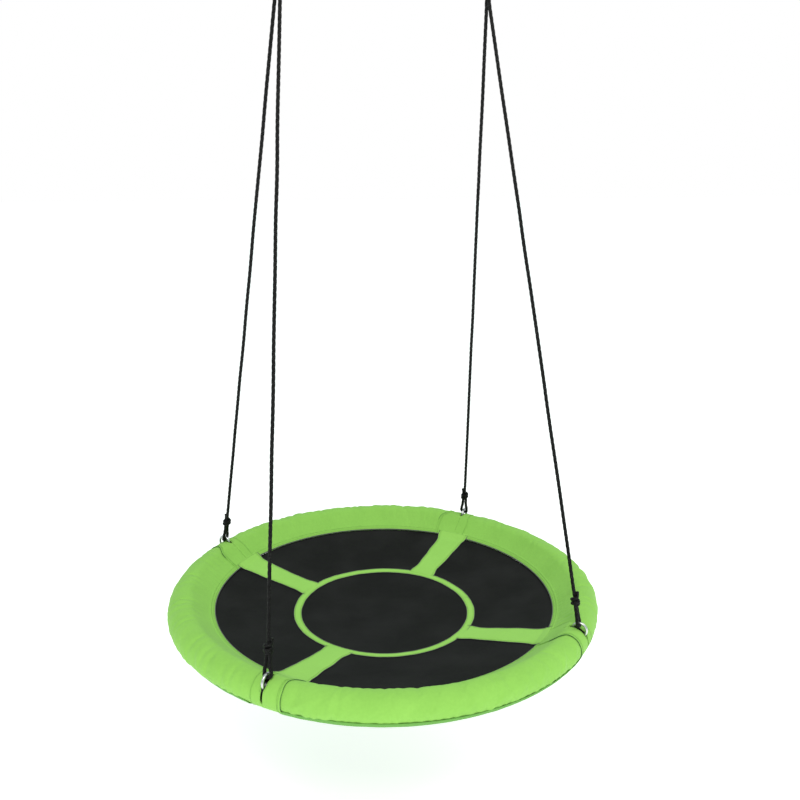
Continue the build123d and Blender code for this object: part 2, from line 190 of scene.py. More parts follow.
class ShaderBook:
    """One material's node tree, with a single way of adding nodes."""

    def __init__(self, name: str) -> None:
        """Start a material that holds a Principled shader and its output.

        Args:
            name: the material's name.
        """
        self.material = bpy.data.materials.new(name)
        self.material.use_nodes = True
        self.tree = self.material.node_tree
        self.shader = self.tree.nodes["Principled BSDF"]

    def node(
        self, kind: str, settings: dict[str, object], inputs: dict[object, object], out: object = 0,
    ) -> Value:
        """Add a node, set it up, and feed its sockets.

        Args:
            kind: the node's type, as Blender names it.
            settings: its own settings, set before anything is linked. A colour ramp takes "stops".
            inputs: values or links by socket name or number.
            out: the output socket that is wanted.

        Returns:
            The wanted output, ready for maths.
        """
        made = self.tree.nodes.new(kind)
        for key, value in settings.items():
            if key == "stops":
                self._stops(made, value)
            else:
                setattr(made, key, value)
        for key, value in inputs.items():
            self.feed(made.inputs[key], value)
        return Value(self, made.outputs[out])

    @staticmethod
    def _stops(ramp: bpy.types.Node, stops: Sequence[tuple[float, float]]) -> None:
        """Give a colour ramp its grey stops.

        Args:
            ramp: the colour ramp node.
            stops: each place, from 0 to 1, and its grey.
        """
        elements = ramp.color_ramp.elements
        while len(elements) < len(stops):
            elements.new(0.5)
        for element, (place, grey) in zip(elements, stops):
            element.position = place
            element.color = (grey, grey, grey, 1.0)

    def feed(self, socket: bpy.types.NodeSocket, value: object) -> None:
        """Link a value to a socket, or set the socket to a constant.

        Args:
            socket: the input socket.
            value: what goes into it.
        """
        if isinstance(value, Value):
            self.tree.links.new(value.socket, socket)
        elif isinstance(value, tuple) and len(value) == 3 and socket.type == "RGBA":
            socket.default_value = (*value, 1.0)
        else:
            socket.default_value = value

    def lay(self) -> tuple[Value, Value, Value]:
        """The three numbers stored on the mesh: along, across, and nearness to a seam."""
        stored = self.node("ShaderNodeAttribute", {"attribute_name": LAY}, {}, "Vector")
        return tuple(self.node("ShaderNodeSeparateXYZ", {}, {0: stored}, i) for i in range(3))

    def place(self) -> Value:
        """The point in the frame's own axes, in metres."""
        return self.node("ShaderNodeTexCoord", {}, {}, "Object")

    def mottle(self, scale: float, detail: float = 3.0, at: Value | None = None) -> Value:
        """Soft noise from 0 to 1.

        Args:
            scale: how many blotches there are in a metre.
            detail: how many finer octaves are added.
            at: the point that the noise is read at, and the frame's own place if none is given.

        Returns:
            The noise.
        """
        where = self.place() if at is None else at
        return self.node("ShaderNodeTexNoise", {}, {"Vector": where, "Scale": scale, "Detail": detail})

    def vector(self, x: object, y: object, z: object) -> Value:
        """Three numbers as one vector.

        Args:
            x: the first number.
            y: the second.
            z: the third.

        Returns:
            The vector.
        """
        return self.node("ShaderNodeCombineXYZ", {}, {0: x, 1: y, 2: z})

    def blend(self, share: object, first: object, second: object, kind: str = "MIX") -> Value:
        """Mix two colours.

        Args:
            share: how much of the second shows, from 0 to 1.
            first: the colour under it.
            second: the colour over it.
            kind: the way that the two mix.

        Returns:
            The mixed colour.
        """
        settings = {"data_type": "RGBA", "blend_type": kind}
        return self.node("ShaderNodeMix", settings, {0: share, 6: first, 7: second}, 2)

    def ramp(self, value: Value, stops: Sequence[tuple[float, float]]) -> Value:
        """Bend a number through grey stops.

        Args:
            value: the number, from 0 to 1.
            stops: each place and its grey.

        Returns:
            The bent number.
        """
        return self.node("ShaderNodeValToRGB", {"stops": stops}, {0: value})

    def bump(self, height: Value, depth: float, under: Value | None = None) -> Value:
        """A normal from a height.

        Args:
            height: the height, about 0 to 1.
            depth: what a height of 1 stands for, in metres.
            under: another bump's normal that this one adds to.

        Returns:
            The normal.
        """
        inputs = {"Height": height, "Distance": depth, "Strength": 1.0}
        if under is not None:
            inputs["Normal"] = under
        return self.node("ShaderNodeBump", {}, inputs)

    def dress(self, colour: object, roughness: object, **others: object) -> bpy.types.Material:
        """Feed the shader and hand the material over.

        Args:
            colour: the base colour, a constant or a link.
            roughness: the roughness, a constant or a link.
            others: further sockets by their names, with _ for a space.

        Returns:
            The finished material.
        """
        self.feed(self.shader.inputs["Base Color"], colour)
        self.feed(self.shader.inputs["Roughness"], roughness)
        for key, value in others.items():
            self.feed(self.shader.inputs[key.replace("_", " ")], value)
        return self.material


# ---------------------------------------------------------------------------------------------
# Finishes


@dataclass(frozen=True)
class WovenCloth:
    """Plain-woven polyester cloth, matt, with a faint unevenness, darker seams, and painted shade along the
    strap wraps' edges.
    """

    name: str = "green_cloth"
    colour: Colour = (0.300, 0.620, 0.112)
    deep: Colour = (0.215, 0.480, 0.078)
    thread: float = 0.0011
    relief: float = 0.00012
    roughness: float = 0.82

    def material(self) -> bpy.types.Material:
        """Build the cloth's material."""
        book = ShaderBook(self.name)
        along, across, seam = book.lay()
        turn = math.pi / self.thread
        weave = (along * turn).sine() * (across * turn).sine()
        slub = book.mottle(900.0, 2.0, book.vector(along, across * 0.15, 0.0))
        broad = book.mottle(14.0, 4.0)
        fine = book.mottle(160.0, 3.0)
        worn = broad * 0.65 + fine * 0.35
        tint = book.blend(book.ramp(worn, ((0.32, 0.0), (0.68, 1.0))), self.deep, self.colour)
        light = book.blend(0.62, tint, self.colour)
        # The third stored number darkens the cloth at seams; on the strap wraps it also darkens their edges,
        # which is painted shade.
        sewn = book.blend(seam * 0.55, light, self.deep)
        crease = book.bump(book.mottle(75.0, 4.0, book.vector(along, across * 0.3, 0.0)), 0.0011)
        height = weave * 0.5 + slub * 0.8
        normal = book.bump(height, self.relief, crease)
        rough = (fine - 0.5) * 0.12 + self.roughness
        return book.dress(
            sewn, rough, Normal=normal, Sheen_Weight=0.08, Sheen_Roughness=0.5, Specular_IOR_Level=0.12,
        )


@dataclass(frozen=True)
class MeshCloth:
    """Coated open-weave cloth: fine dark threads with small gaps between them."""

    name: str = "black_mesh"
    colour: Colour = (0.0094, 0.0089, 0.0094)
    gap: Colour = (0.006, 0.0057, 0.0060)
    thread: float = 0.0016
    relief: float = 0.00022
    roughness: float = 0.66

    def material(self) -> bpy.types.Material:
        """Build the mesh cloth's material."""
        book = ShaderBook(self.name)
        along, across, _ = book.lay()
        turn = math.pi / self.thread
        warp = (along * turn).sine().size()
        weft = (across * turn).sine().size()
        cross = warp.at_least(weft)
        dust = book.mottle(9.0, 4.0)
        shade = book.blend(cross, self.gap, self.colour)
        dusty = book.blend(book.ramp(dust, ((0.4, 0.0), (0.75, 1.0))) * 0.35, shade, (0.034, 0.034, 0.035))
        normal = book.bump(cross, self.relief, book.bump(book.mottle(34.0, 3.0), 0.0012))
        rough = (dust - 0.5) * 0.16 + self.roughness
        return book.dress(dusty, rough, Normal=normal, Specular_IOR_Level=0.10)


@dataclass(frozen=True)
class LaidRope:
    """Black laid polypropylene rope: fine slanting yarns, a little shiny, with paler flecks along the fibres
    that are painted glints.
    """

    name: str = "black_rope"
    colour: Colour = (0.0035, 0.0034, 0.0036)
    painted_glint: Colour = (0.24, 0.24, 0.245)
    yarn: float = 0.0009
    relief: float = 0.0003

    def material(self) -> bpy.types.Material:
        """Build the rope's material."""
        book = ShaderBook(self.name)
        along, across, valley = book.lay()
        turn = 2 * math.pi / self.yarn
        yarns = ((along * 0.55 + across) * turn).sine()
        fibre = book.mottle(1.0, 2.0, book.vector(along * 260.0 + across * 420.0, across * 1900.0, 0.0))
        # Paler grey flecks along the stretched fibre noise stand for glints: painted highlights.
        glint_share = book.ramp(fibre, ((0.6, 0.0), (0.74, 1.0)))
        dark = book.blend(valley * 0.75, self.colour, (0.004, 0.004, 0.004))
        colour = book.blend(glint_share * 0.5, dark, self.painted_glint)
        normal = book.bump(yarns * 0.35 + fibre * 0.65, self.relief)
        rough = fibre * 0.25 + 0.38
        return book.dress(colour, rough, Normal=normal, Specular_IOR_Level=0.14)


@dataclass(frozen=True)
class PlatedSteel:
    """Zinc-plated or bare steel, with fine scratches and dull patches."""

    name: str = "zinc_steel"
    colour: Colour = (0.62, 0.63, 0.645)
    roughness: float = 0.27
    dulling: float = 0.22

    def material(self) -> bpy.types.Material:
        """Build the metal's material."""
        book = ShaderBook(self.name)
        patch = book.mottle(120.0, 4.0)
        scratch = book.mottle(2400.0, 2.0)
        dull = book.ramp(patch, ((0.35, 0.0), (0.7, 1.0))) * 0.4
        colour = book.blend(dull, self.colour, (0.40, 0.41, 0.42))
        rough = patch * self.dulling + scratch * 0.08 + self.roughness - 0.1
        normal = book.bump(scratch, 0.00004, book.bump(patch, 0.0002))
        return book.dress(colour, rough, Normal=normal, Metallic=1.0)


@dataclass(frozen=True)
class PowderCoat:
    """Grey powder-coated steel with a light orange-peel texture."""

    name: str = "frame_steel"
    colour: Colour = (0.26, 0.27, 0.28)

    def material(self) -> bpy.types.Material:
        """Build the coat's material."""
        book = ShaderBook(self.name)
        peel = book.mottle(1500.0, 2.0)
        patch = book.mottle(60.0, 3.0)
        colour = book.blend(patch * 0.3, self.colour, (0.33, 0.34, 0.35))
        return book.dress(colour, patch * 0.15 + 0.36, Normal=book.bump(peel, 0.00015))


@dataclass(frozen=True)
class CellFoam:
    """Closed-cell foam: a fine pitted skin."""

    name: str = "grey_foam"
    colour: Colour = (0.05, 0.05, 0.052)

    def material(self) -> bpy.types.Material:
        """Build the foam's material."""
        book = ShaderBook(self.name)
        cells = book.node("ShaderNodeTexVoronoi", {}, {"Vector": book.place(), "Scale": 650.0}, "Distance")
        colour = book.blend(cells, self.colour, (0.09, 0.09, 0.093))
        return book.dress(colour, 0.9, Normal=book.bump(cells, 0.0006))


@dataclass(frozen=True)
class SewnTrim:
    """Narrow woven tape or thread: ribs across its run."""

    name: str
    colour: Colour
    rib: float = 0.0012
    roughness: float = 0.8

    def material(self) -> bpy.types.Material:
        """Build the trim's material."""
        book = ShaderBook(self.name)
        along, _, _ = book.lay()
        ribs = (along * (math.pi / self.rib)).sine().size()
        speck = book.mottle(420.0, 2.0)
        colour = book.blend(ribs * 0.35 + speck * 0.25, self.colour, tuple(0.62 * c for c in self.colour))
        return book.dress(colour, self.roughness, Normal=book.bump(ribs + speck * 0.5, 0.00025))


class Slot(Enum):
    """The record's material slots."""

    GREEN = "green_cloth"
    BLACK = "black_mesh"
    PIPING = "grey_piping"
    TAPE = "closure_tape"
    ROPE = "black_rope"
    FOAM = "grey_foam"
    COAT = "frame_steel"
    ZINC = "zinc_steel"
    HOOK = "hook_steel"


class Wardrobe:
    """The finished materials, one for each slot, and the sewing thread."""

    def __init__(self) -> None:
        """Build every material once."""
        finishes = {
            Slot.GREEN: WovenCloth(),
            Slot.BLACK: MeshCloth(),
            Slot.PIPING: SewnTrim("grey_piping", (0.125, 0.135, 0.125)),
            Slot.TAPE: SewnTrim("closure_tape", (0.165, 0.450, 0.072), 0.0016),
            Slot.ROPE: LaidRope(),
            Slot.FOAM: CellFoam(),
            Slot.COAT: PowderCoat(),
            Slot.ZINC: PlatedSteel(),
            Slot.HOOK: PlatedSteel("hook_steel", (0.66, 0.67, 0.68), 0.22),
        }
        self.materials = {slot: finish.material() for slot, finish in finishes.items()}
        self.strip = WovenCloth("strip_cloth", (0.335, 0.665, 0.130), (0.255, 0.545, 0.090)).material()
        self.thread = SewnTrim("green_thread", (0.285, 0.60, 0.108), 0.0008, 0.6).material()
        # This dark green trim dresses the cords along the wraps' unsewn edges, which stand for the shadow
        # under those edges: painted shade.
        self.edge = SewnTrim("painted_edge_shadow", (0.045, 0.170, 0.040), 0.0012, 0.7).material()

    def dress(self, piece: bpy.types.Object, slot: Slot, material: bpy.types.Material | None = None) -> None:
        """Give a new piece its material: the slot's own, or the one given instead.

        Args:
            piece: the object.
            slot: the record's slot that it belongs to.
            material: another material than the slot's own.
        """
        piece.data.materials.clear()
        piece.data.materials.append(material or self.materials[slot])

    def dress_nodes(self) -> int:
        """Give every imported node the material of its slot.

        Returns:
            How many nodes were dressed.
        """
        slots = {s["node"]: s["material_slot"] for s in frame["record"]["subparts"]}
        for name, node in frame["nodes"].items():
            material = self.materials[Slot(slots[name])]
            if node.material_slots:
                for place in node.material_slots:
                    place.material = material
            else:
                node.data.materials.append(material)
        return len(slots)


# ---------------------------------------------------------------------------------------------
# Mesh making


def unit(v: np.ndarray) -> np.ndarray:
    """Vectors with a length of one.

    Args:
        v: the vectors, along the last axis.

    Returns:
        The unit vectors.
    """
    return v / np.maximum(np.linalg.norm(v, axis=-1, keepdims=True), 1e-12)


def grid_piece(
    name: str, points: np.ndarray, lay: np.ndarray | None = None, wrap_rows: bool = False,
    wrap_columns: bool = False, caps: bool = False,
) -> bpy.types.Object:
    """A mesh from a grid of points.

    Args:
        name: the piece's name.
        points: rows by columns by three.
        lay: what is stored on each point, in the same layout.
        wrap_rows: whether the last row joins the first.
        wrap_columns: whether the last column joins the first.
        caps: whether the first and last rows are closed with a fan to their own middles.

    Returns:
        The object, in the scene.
    """
    rows, columns = points.shape[:2]
    flat = points.reshape(-1, 3)
    index = np.arange(rows * columns).reshape(rows, columns)
    if wrap_rows:
        index = np.vstack([index, index[:1]])
    if wrap_columns:
        index = np.hstack([index, index[:, :1]])
    quads = np.stack([index[:-1, :-1], index[:-1, 1:], index[1:, 1:], index[1:, :-1]], -1).reshape(-1, 4)
    faces = quads.tolist()
    if caps:
        for row, order in ((0, -1), (rows - 1, 1)):
            ring = index[row, :columns]
            centre = len(flat)
            flat = np.vstack([flat, points[row].mean(0, keepdims=True)])
            if lay is not None:
                lay = lay.reshape(-1, 3)
                lay = np.vstack([lay, lay[ring].mean(0, keepdims=True)])
            pairs = np.stack([ring, np.roll(ring, -1)], 1)[:, ::order]
            faces += [[int(a), int(b), centre] for a, b in pairs]
    mesh = bpy.data.meshes.new(name)
    mesh.from_pydata(flat.tolist(), [], faces)
    mesh.update()
    mesh.polygons.foreach_set("use_smooth", np.ones(len(mesh.polygons), dtype=bool))
    if lay is not None:
        stored = mesh.attributes.new(LAY, "FLOAT_VECTOR", "POINT")
        stored.data.foreach_set("vector", lay.reshape(-1, 3).astype(np.float32).ravel())
    piece = bpy.data.objects.new(name, mesh)
    bpy.context.scene.collection.objects.link(piece)
    return piece


def solidify(piece: bpy.types.Object, thickness: float, offset: float = -1.0) -> bpy.types.Object:
    """Give an open sheet a thickness.

    Args:
        piece: the sheet.
        thickness: its thickness in metres.
        offset: -1 inwards, 1 outwards, 0 both ways.

    Returns:
        The same piece.
    """
    made = piece.modifiers.new("thickness", "SOLIDIFY")
    made.thickness = thickness
    made.offset = offset
    made.use_even_offset = True
    return piece


def smooth(piece: bpy.types.Object, levels: int = 1) -> bpy.types.Object:
    """Add a subdivision surface.

    Args:
        piece: the piece.
        levels: how many times each face is divided.

    Returns:
        The same piece.
    """
    made = piece.modifiers.new("smooth", "SUBSURF")
    made.levels = levels
    made.render_levels = levels
    return piece


def apply_modifiers(piece: bpy.types.Object) -> bpy.types.Object:
    """Make what a piece's modifiers give its own mesh.

    Args:
        piece: the piece.

    Returns:
        The same piece.
    """
    graph = bpy.context.evaluated_depsgraph_get()
    made = bpy.data.meshes.new_from_object(piece.evaluated_get(graph))
    piece.modifiers.clear()
    piece.data = made
    return piece


def resample(line: np.ndarray, step: float) -> np.ndarray:
    """A line's points again, evenly spaced.

    Args:
        line: the points.
        step: about how far apart the new ones are.

    Returns:
        The new points.
    """
    along = np.concatenate([[0.0], np.cumsum(np.linalg.norm(np.diff(line, axis=0), axis=1))])
    count = max(4, int(math.ceil(along[-1] / step)) + 1)
    at = np.linspace(0.0, along[-1], count)
    return np.stack([np.interp(at, along, line[:, k]) for k in range(3)], axis=1)


def frames_along(line: np.ndarray) -> tuple[np.ndarray, np.ndarray, np.ndarray]:
    """Directions that go along a line with no twist of their own.

    Args:
        line: the points.

    Returns:
        The tangents and two directions across, one row for each point.
    """
    tangent = unit(np.gradient(line, axis=0))
    side = np.zeros_like(line)
    start = np.array([1.0, 0.0, 0.0]) if abs(tangent[0][0]) < 0.8 else np.array([0.0, 1.0, 0.0])
    side[0] = unit(start - tangent[0] * (start @ tangent[0]))
    for i in range(1, len(line)):
        carried = side[i - 1] - tangent[i] * (side[i - 1] @ tangent[i])
        side[i] = unit(carried)
    return tangent, side, np.cross(tangent, side)


def nurbs_line(name: str, points: Sequence[Sequence[float]]) -> np.ndarray:
    """The smooth line of a cord's route.

    Args:
        name: a name for the passing curve.
        points: the route's points, which are the spline's control points.

    Returns:
        The points down the middle of the cord.
    """
    data = bpy.data.curves.new(name, "CURVE")
    data.dimensions = "3D"
    data.resolution_u = 24
    spline = data.splines.new("NURBS")
    spline.points.add(len(points) - 1)
    for point, place in zip(spline.points, points):
        point.co = (*place, 1.0)
    spline.order_u = 3
    spline.use_endpoint_u = True
    route = bpy.data.objects.new(name, data)
    mesh = bpy.data.meshes.new_from_object(route)
    line = np.array([v.co for v in mesh.vertices], float)
    bpy.data.meshes.remove(mesh)
    bpy.data.objects.remove(route)
    bpy.data.curves.remove(data)
    return line


@dataclass(frozen=True)
class RopeSection:
    """The lobed section of a laid rope, which turns as it goes along."""

    diameter: float = 0.008
    strands: int = 3
    pitch: float = 0.040
    columns: int = 27
    depth: float = 0.27
    step: float = 0.0016

    def sweep(self, name: str, line: np.ndarray, seed: float = 0.0) -> bpy.types.Object:
        """Sweep the section along a line.

        Args:
            name: the piece's name.
            line: the points down the rope's middle.
            seed: where in the noise its small unevenness is read.

        Returns:
            The rope, a closed mesh.
        """
        line = resample(line, self.step)
        _, side, other = frames_along(line)
        along = np.concatenate([[0.0], np.cumsum(np.linalg.norm(np.diff(line, axis=0), axis=1))])
        angle = np.linspace(0, 2 * math.pi, self.columns, endpoint=False)
        turn = 2 * math.pi * along[:, None] / self.pitch
        lobe = np.abs(np.cos(self.strands / 2 * (angle[None, :] - turn)))
        crest = 1.0 - self.depth * (1.0 - np.sqrt(np.maximum(lobe, 1e-6)))
        rough = np.array([noise.noise(Vector((seed, a * 90.0, 0.0))) for a in along])[:, None]
        radius = self.diameter / 2 * crest * (1.0 + 0.025 * rough)
        points = line[:, None] + radius[..., None] * (
            np.cos(angle)[None, :, None] * side[:, None] + np.sin(angle)[None, :, None] * other[:, None]
        )
        around = (angle[None, :] - turn) * self.diameter / 2
        valley = np.clip(1.0 - lobe * 2.2, 0.0, 1.0)
        lay = np.stack([np.broadcast_to(along[:, None], lobe.shape), around, valley], -1)
        return grid_piece(name, points, lay, wrap_columns=True, caps=True)


def stitch_row(
    name: str, line: np.ndarray, outward: np.ndarray, pitch: float, thread: float,
) -> bpy.types.Object:
    """A row of stitches: short rounded threads that lie on a seam and dive in at their ends.

    Args:
        name: the piece's name.
        line: the points along the seam, on the cloth.
        outward: the cloth's outward direction at each of those points.
        pitch: the distance from one stitch to the next.
        thread: the thread's thickness.

    Returns:
        All the row's stitches as one mesh.
    """
    along = np.concatenate([[0.0], np.cumsum(np.linalg.norm(np.diff(line, axis=0), axis=1))])
    count = max(1, int(along[-1] / pitch))
    shares = np.array([-0.42, -0.2, 0.2, 0.42])
    at = ((np.arange(count) + 0.5)[:, None] + shares[None, :]) * pitch
    place = np.stack([np.interp(at, along, line[:, k]) for k in range(3)], -1)
    normal = unit(np.stack([np.interp(at, along, outward[:, k]) for k in range(3)], -1))
    run = unit(place[:, -1] - place[:, 0])[:, None, :]
    across = np.cross(normal, run)
    lift = np.array([-0.35, 0.45, 0.45, -0.35])[None, :, None] * thread
    corner = np.array([[1, 0.0], [0.0, 1.0], [-1, 0.0], [0.0, -1.0]]) * thread / 2
    rings = [place + normal * lift + across * a + normal * b for a, b in corner]
    verts = np.stack(rings, 2).reshape(-1, 3)
    base = np.arange(count)[:, None, None] * 16
    quads = []
    for segment in range(3):
        for k in range(4):
            a, b = segment * 4 + k, segment * 4 + (k + 1) % 4
            quads.append([a, b, b + 4, a + 4])
    quads += [[3, 2, 1, 0], [12, 13, 14, 15]]
    faces = (base + np.array(quads)[None]).reshape(-1, 4)
    mesh = bpy.data.meshes.new(name)
    mesh.from_pydata(verts.tolist(), [], faces.tolist())
    mesh.update()
    mesh.polygons.foreach_set("use_smooth", np.ones(len(mesh.polygons), dtype=bool))
    stored = mesh.attributes.new(LAY, "FLOAT_VECTOR", "POINT")
    lay = np.stack([np.repeat(at.ravel(), 4), np.zeros(len(verts)), np.zeros(len(verts))], -1)
    stored.data.foreach_set("vector", lay.astype(np.float32).ravel())
    piece = bpy.data.objects.new(name, mesh)
    bpy.context.scene.collection.objects.link(piece)
    return piece


def join(name: str, pieces: Sequence[bpy.types.Object]) -> bpy.types.Object:
    """Join meshes into one piece.

    Args:
        name: the joined piece's name.
        pieces: the objects, which share one material.

    Returns:
        The joined piece.
    """
    with bpy.context.temp_override(active_object=pieces[0], selected_editable_objects=list(pieces)):
        bpy.ops.object.join()
    pieces[0].name = name
    pieces[0].data.name = name
    return pieces[0]


def merge(piece: bpy.types.Object, distance: float = 1e-5) -> bpy.types.Object:
    """Weld a piece's points where they lie on each other.

    Args:
        piece: the piece.
        distance: how near two points lie to be one, in metres.

    Returns:
        The same piece.
    """
    shape = bmesh.new()
    shape.from_mesh(piece.data)
    bmesh.ops.remove_doubles(shape, verts=shape.verts, dist=distance)
    bmesh.ops.recalc_face_normals(shape, faces=shape.faces)
    shape.to_mesh(piece.data)
    shape.free()
    return piece


def uneven(x: np.ndarray, y: np.ndarray, seed: float) -> np.ndarray:
    """Smooth noise from about -1 to 1.

    Args:
        x: where it is read one way, with a blotch to each unit.
        y: where it is read the other way.
        seed: which noise it is.

    Returns:
        The noise at each place.
    """
    x, y = np.broadcast_arrays(x, y)
    flat = [noise.noise(Vector((a, b, seed))) for a, b in zip(x.ravel().tolist(), y.ravel().tolist())]
    return np.array(flat).reshape(x.shape)


def hump(value: np.ndarray, middle: float, width: float) -> np.ndarray:
    """A soft bump that is 1 at its middle.

    Args:
        value: where it is read.
        middle: the middle.
        width: how far out it falls to 0.37.

    Returns:
        The height, from 0 to 1.
    """
    return np.exp(-(((value - middle) / width) ** 2))


def eased(value: np.ndarray, start: float, stop: float) -> np.ndarray:
    """A smooth rise from 0 at one value to 1 at another.

    Args:
        value: where it is read.
        start: where the rise starts.
        stop: where it ends.

    Returns:
        The height, from 0 to 1.
    """
    share = np.clip((value - start) / (stop - start), 0.0, 1.0)
    return share * share * (3.0 - 2.0 * share)


# ---------------------------------------------------------------------------------------------
# Where things are


@dataclass(frozen=True)
class Layout:
    """The swing's main places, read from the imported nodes."""

    seat_z: float
    rim_radius: float
    section: float
    mat_radius: float
    mat_edge_z: float
    mat_low_z: float
    hook_x: float
    ring_low_z: float
    knot_top_z: float
    mouth_z: float

    @classmethod
    def measured(cls, wire: float = 0.004, mat: float = 0.003) -> "Layout":
        """Read the places.

        Args:
            wire: half the top ring's wire.
            mat: the mat's thickness.

        Returns:
            The layout.
        """
        tube_low, tube_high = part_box("frame_tube_front_left")
        cover_low, cover_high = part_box("rim_cover_right")
        mat_low, mat_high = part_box("seat_mat")
        ring_low, ring_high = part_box("top_ring_right")
        knot_low, knot_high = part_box("top_knot_right")
        seat_z = (tube_low.z + tube_high.z) / 2
        section = seat_z - cover_low.z
        return cls(
            seat_z=seat_z, rim_radius=cover_high.x - section, section=section, mat_radius=mat_high.x,
            mat_edge_z=mat_high.z, mat_low_z=mat_low.z + mat, hook_x=(ring_low.x + ring_high.x) / 2,
            ring_low_z=ring_low.z + wire, knot_top_z=knot_high.z, mouth_z=knot_low.z,
        )

    def dish(self, radius: np.ndarray) -> np.ndarray:
        """The height of the mat's top face at a distance from the middle.

        Args:
            radius: the distance from the mat's middle, in metres.

        Returns:
            The height, in metres.
        """
        sag = self.mat_edge_z - self.mat_low_z
        ball = (self.mat_radius**2 + sag**2) / (2 * sag)
        inside = np.minimum(radius, self.mat_radius)
        return self.mat_low_z + ball - np.sqrt(ball**2 - inside**2)

    def sleeve(self) -> np.ndarray:
        """The cover's line across the rim: round the foam, and drawn in to the mat's edge above and below.

        Returns:
            Rows of the turn in degrees, the distance from the swing's middle line, the height over the
            seat plane, the outward direction's two parts, and the length of cloth so far.
        """
        upper, lower = 128.0, 226.0  # where the cloth leaves the foam above, and meets it again below
        gap, lift, seam = 0.0004, 0.0012, 0.0042
        edge = np.array([self.mat_radius + gap, self.mat_edge_z - self.seat_z + lift])
        under = edge - np.array([0.0, seam])

        def on_foam(turn: np.ndarray) -> np.ndarray:
            """Points on the foam's round section.

            Args:
                turn: the places across the rim, in degrees.

            Returns:
                The points, across and up.
            """
            t = np.radians(turn)
            return np.stack([self.rim_radius + self.section * np.cos(t), self.section * np.sin(t)], -1)

        def drawn(start: np.ndarray, heading: np.ndarray, slope: np.ndarray, stop: np.ndarray) -> np.ndarray:
            """A cubic curve that leaves one point along a heading and comes in to another along a slope.

            Args:
                start: the first point.
                heading: the direction it leaves along.
                slope: the direction back from the last point.
                stop: the last point.

            Returns:
                The points down the curve.
            """
            reach = 0.018
            share = np.linspace(0.0, 1.0, 40)[:, None]
            first, second = start + heading * reach, stop + slope * reach
            ends = (1 - share) ** 3 * start + share**3 * stop
            return ends + 3 * (1 - share) ** 2 * share * first + 3 * (1 - share) * share**2 * second

        t = math.radians(upper)
        off_foam = np.array([-math.sin(t), math.cos(t)])
        over = drawn(on_foam(np.array(upper)), off_foam, np.array([0.880, 0.475]), edge)
        t = math.radians(lower)
        onto_foam = np.array([math.sin(t), -math.cos(t)])
        below = drawn(under, np.array([0.97, -0.243]), onto_foam, on_foam(np.array(lower)))
        first, last = np.linspace(-90.0, upper, 110), np.linspace(lower, 270.0, 24)
        to_edge, from_edge = np.linspace(upper, 180.0, 40)[1:], np.linspace(180.5, lower, 40)
        turn = np.concatenate([first, to_edge, from_edge, last[1:]])
        line = np.vstack([on_foam(first), over[1:], below, on_foam(last)[1:]])
        ahead = unit(np.gradient(line, axis=0))
        length = np.concatenate([[0.0], np.cumsum(np.linalg.norm(np.diff(line, axis=0), axis=1))])
        return np.column_stack([turn, line, ahead[:, 1], -ahead[:, 0], length])

    def rim(self, around: np.ndarray, turn: np.ndarray, lift: np.ndarray) -> np.ndarray:
        """Points on the rim's cover.

        Args:
            around: the angle round the ring, in degrees.
            turn: the place across the rim, in degrees: 0 outwards, 90 up, 180 at the mat's edge.
            lift: how far the point stands off the cover's line.

        Returns:
            The points.
        """
        around, turn, lift = np.broadcast_arrays(around, turn, lift)
        table = self.sleeve()
        radius, height, out, up = (np.interp(turn, table[:, 0], table[:, k]) for k in (1, 2, 3, 4))
        a, flat = np.radians(around), radius + lift * out
        return np.stack([flat * np.cos(a), flat * np.sin(a), self.seat_z + height + lift * up], -1)

    def outward(self, around: np.ndarray, turn: np.ndarray) -> np.ndarray:
        """The direction off the cover at a place on the rim.

        Args:
            around: the angle round the ring, in degrees.
            turn: the place across the rim, in degrees.

        Returns:
            The unit vectors.
        """
        around, turn = np.broadcast_arrays(around, turn)
        table = self.sleeve()
        out, up = (np.interp(turn, table[:, 0], table[:, k]) for k in (3, 4))
        a = np.radians(around)
        return np.stack([out * np.cos(a), out * np.sin(a), up], -1)

    def cloth_run(self, turn: np.ndarray) -> np.ndarray:
        """The length of cloth across the rim up to a place.

        Args:
            turn: the place across the rim, in degrees.

        Returns:
            The length, in metres.
        """
        table = self.sleeve()
        return np.interp(turn, table[:, 0], table[:, 5])


# ---------------------------------------------------------------------------------------------
# Camera, light and floor


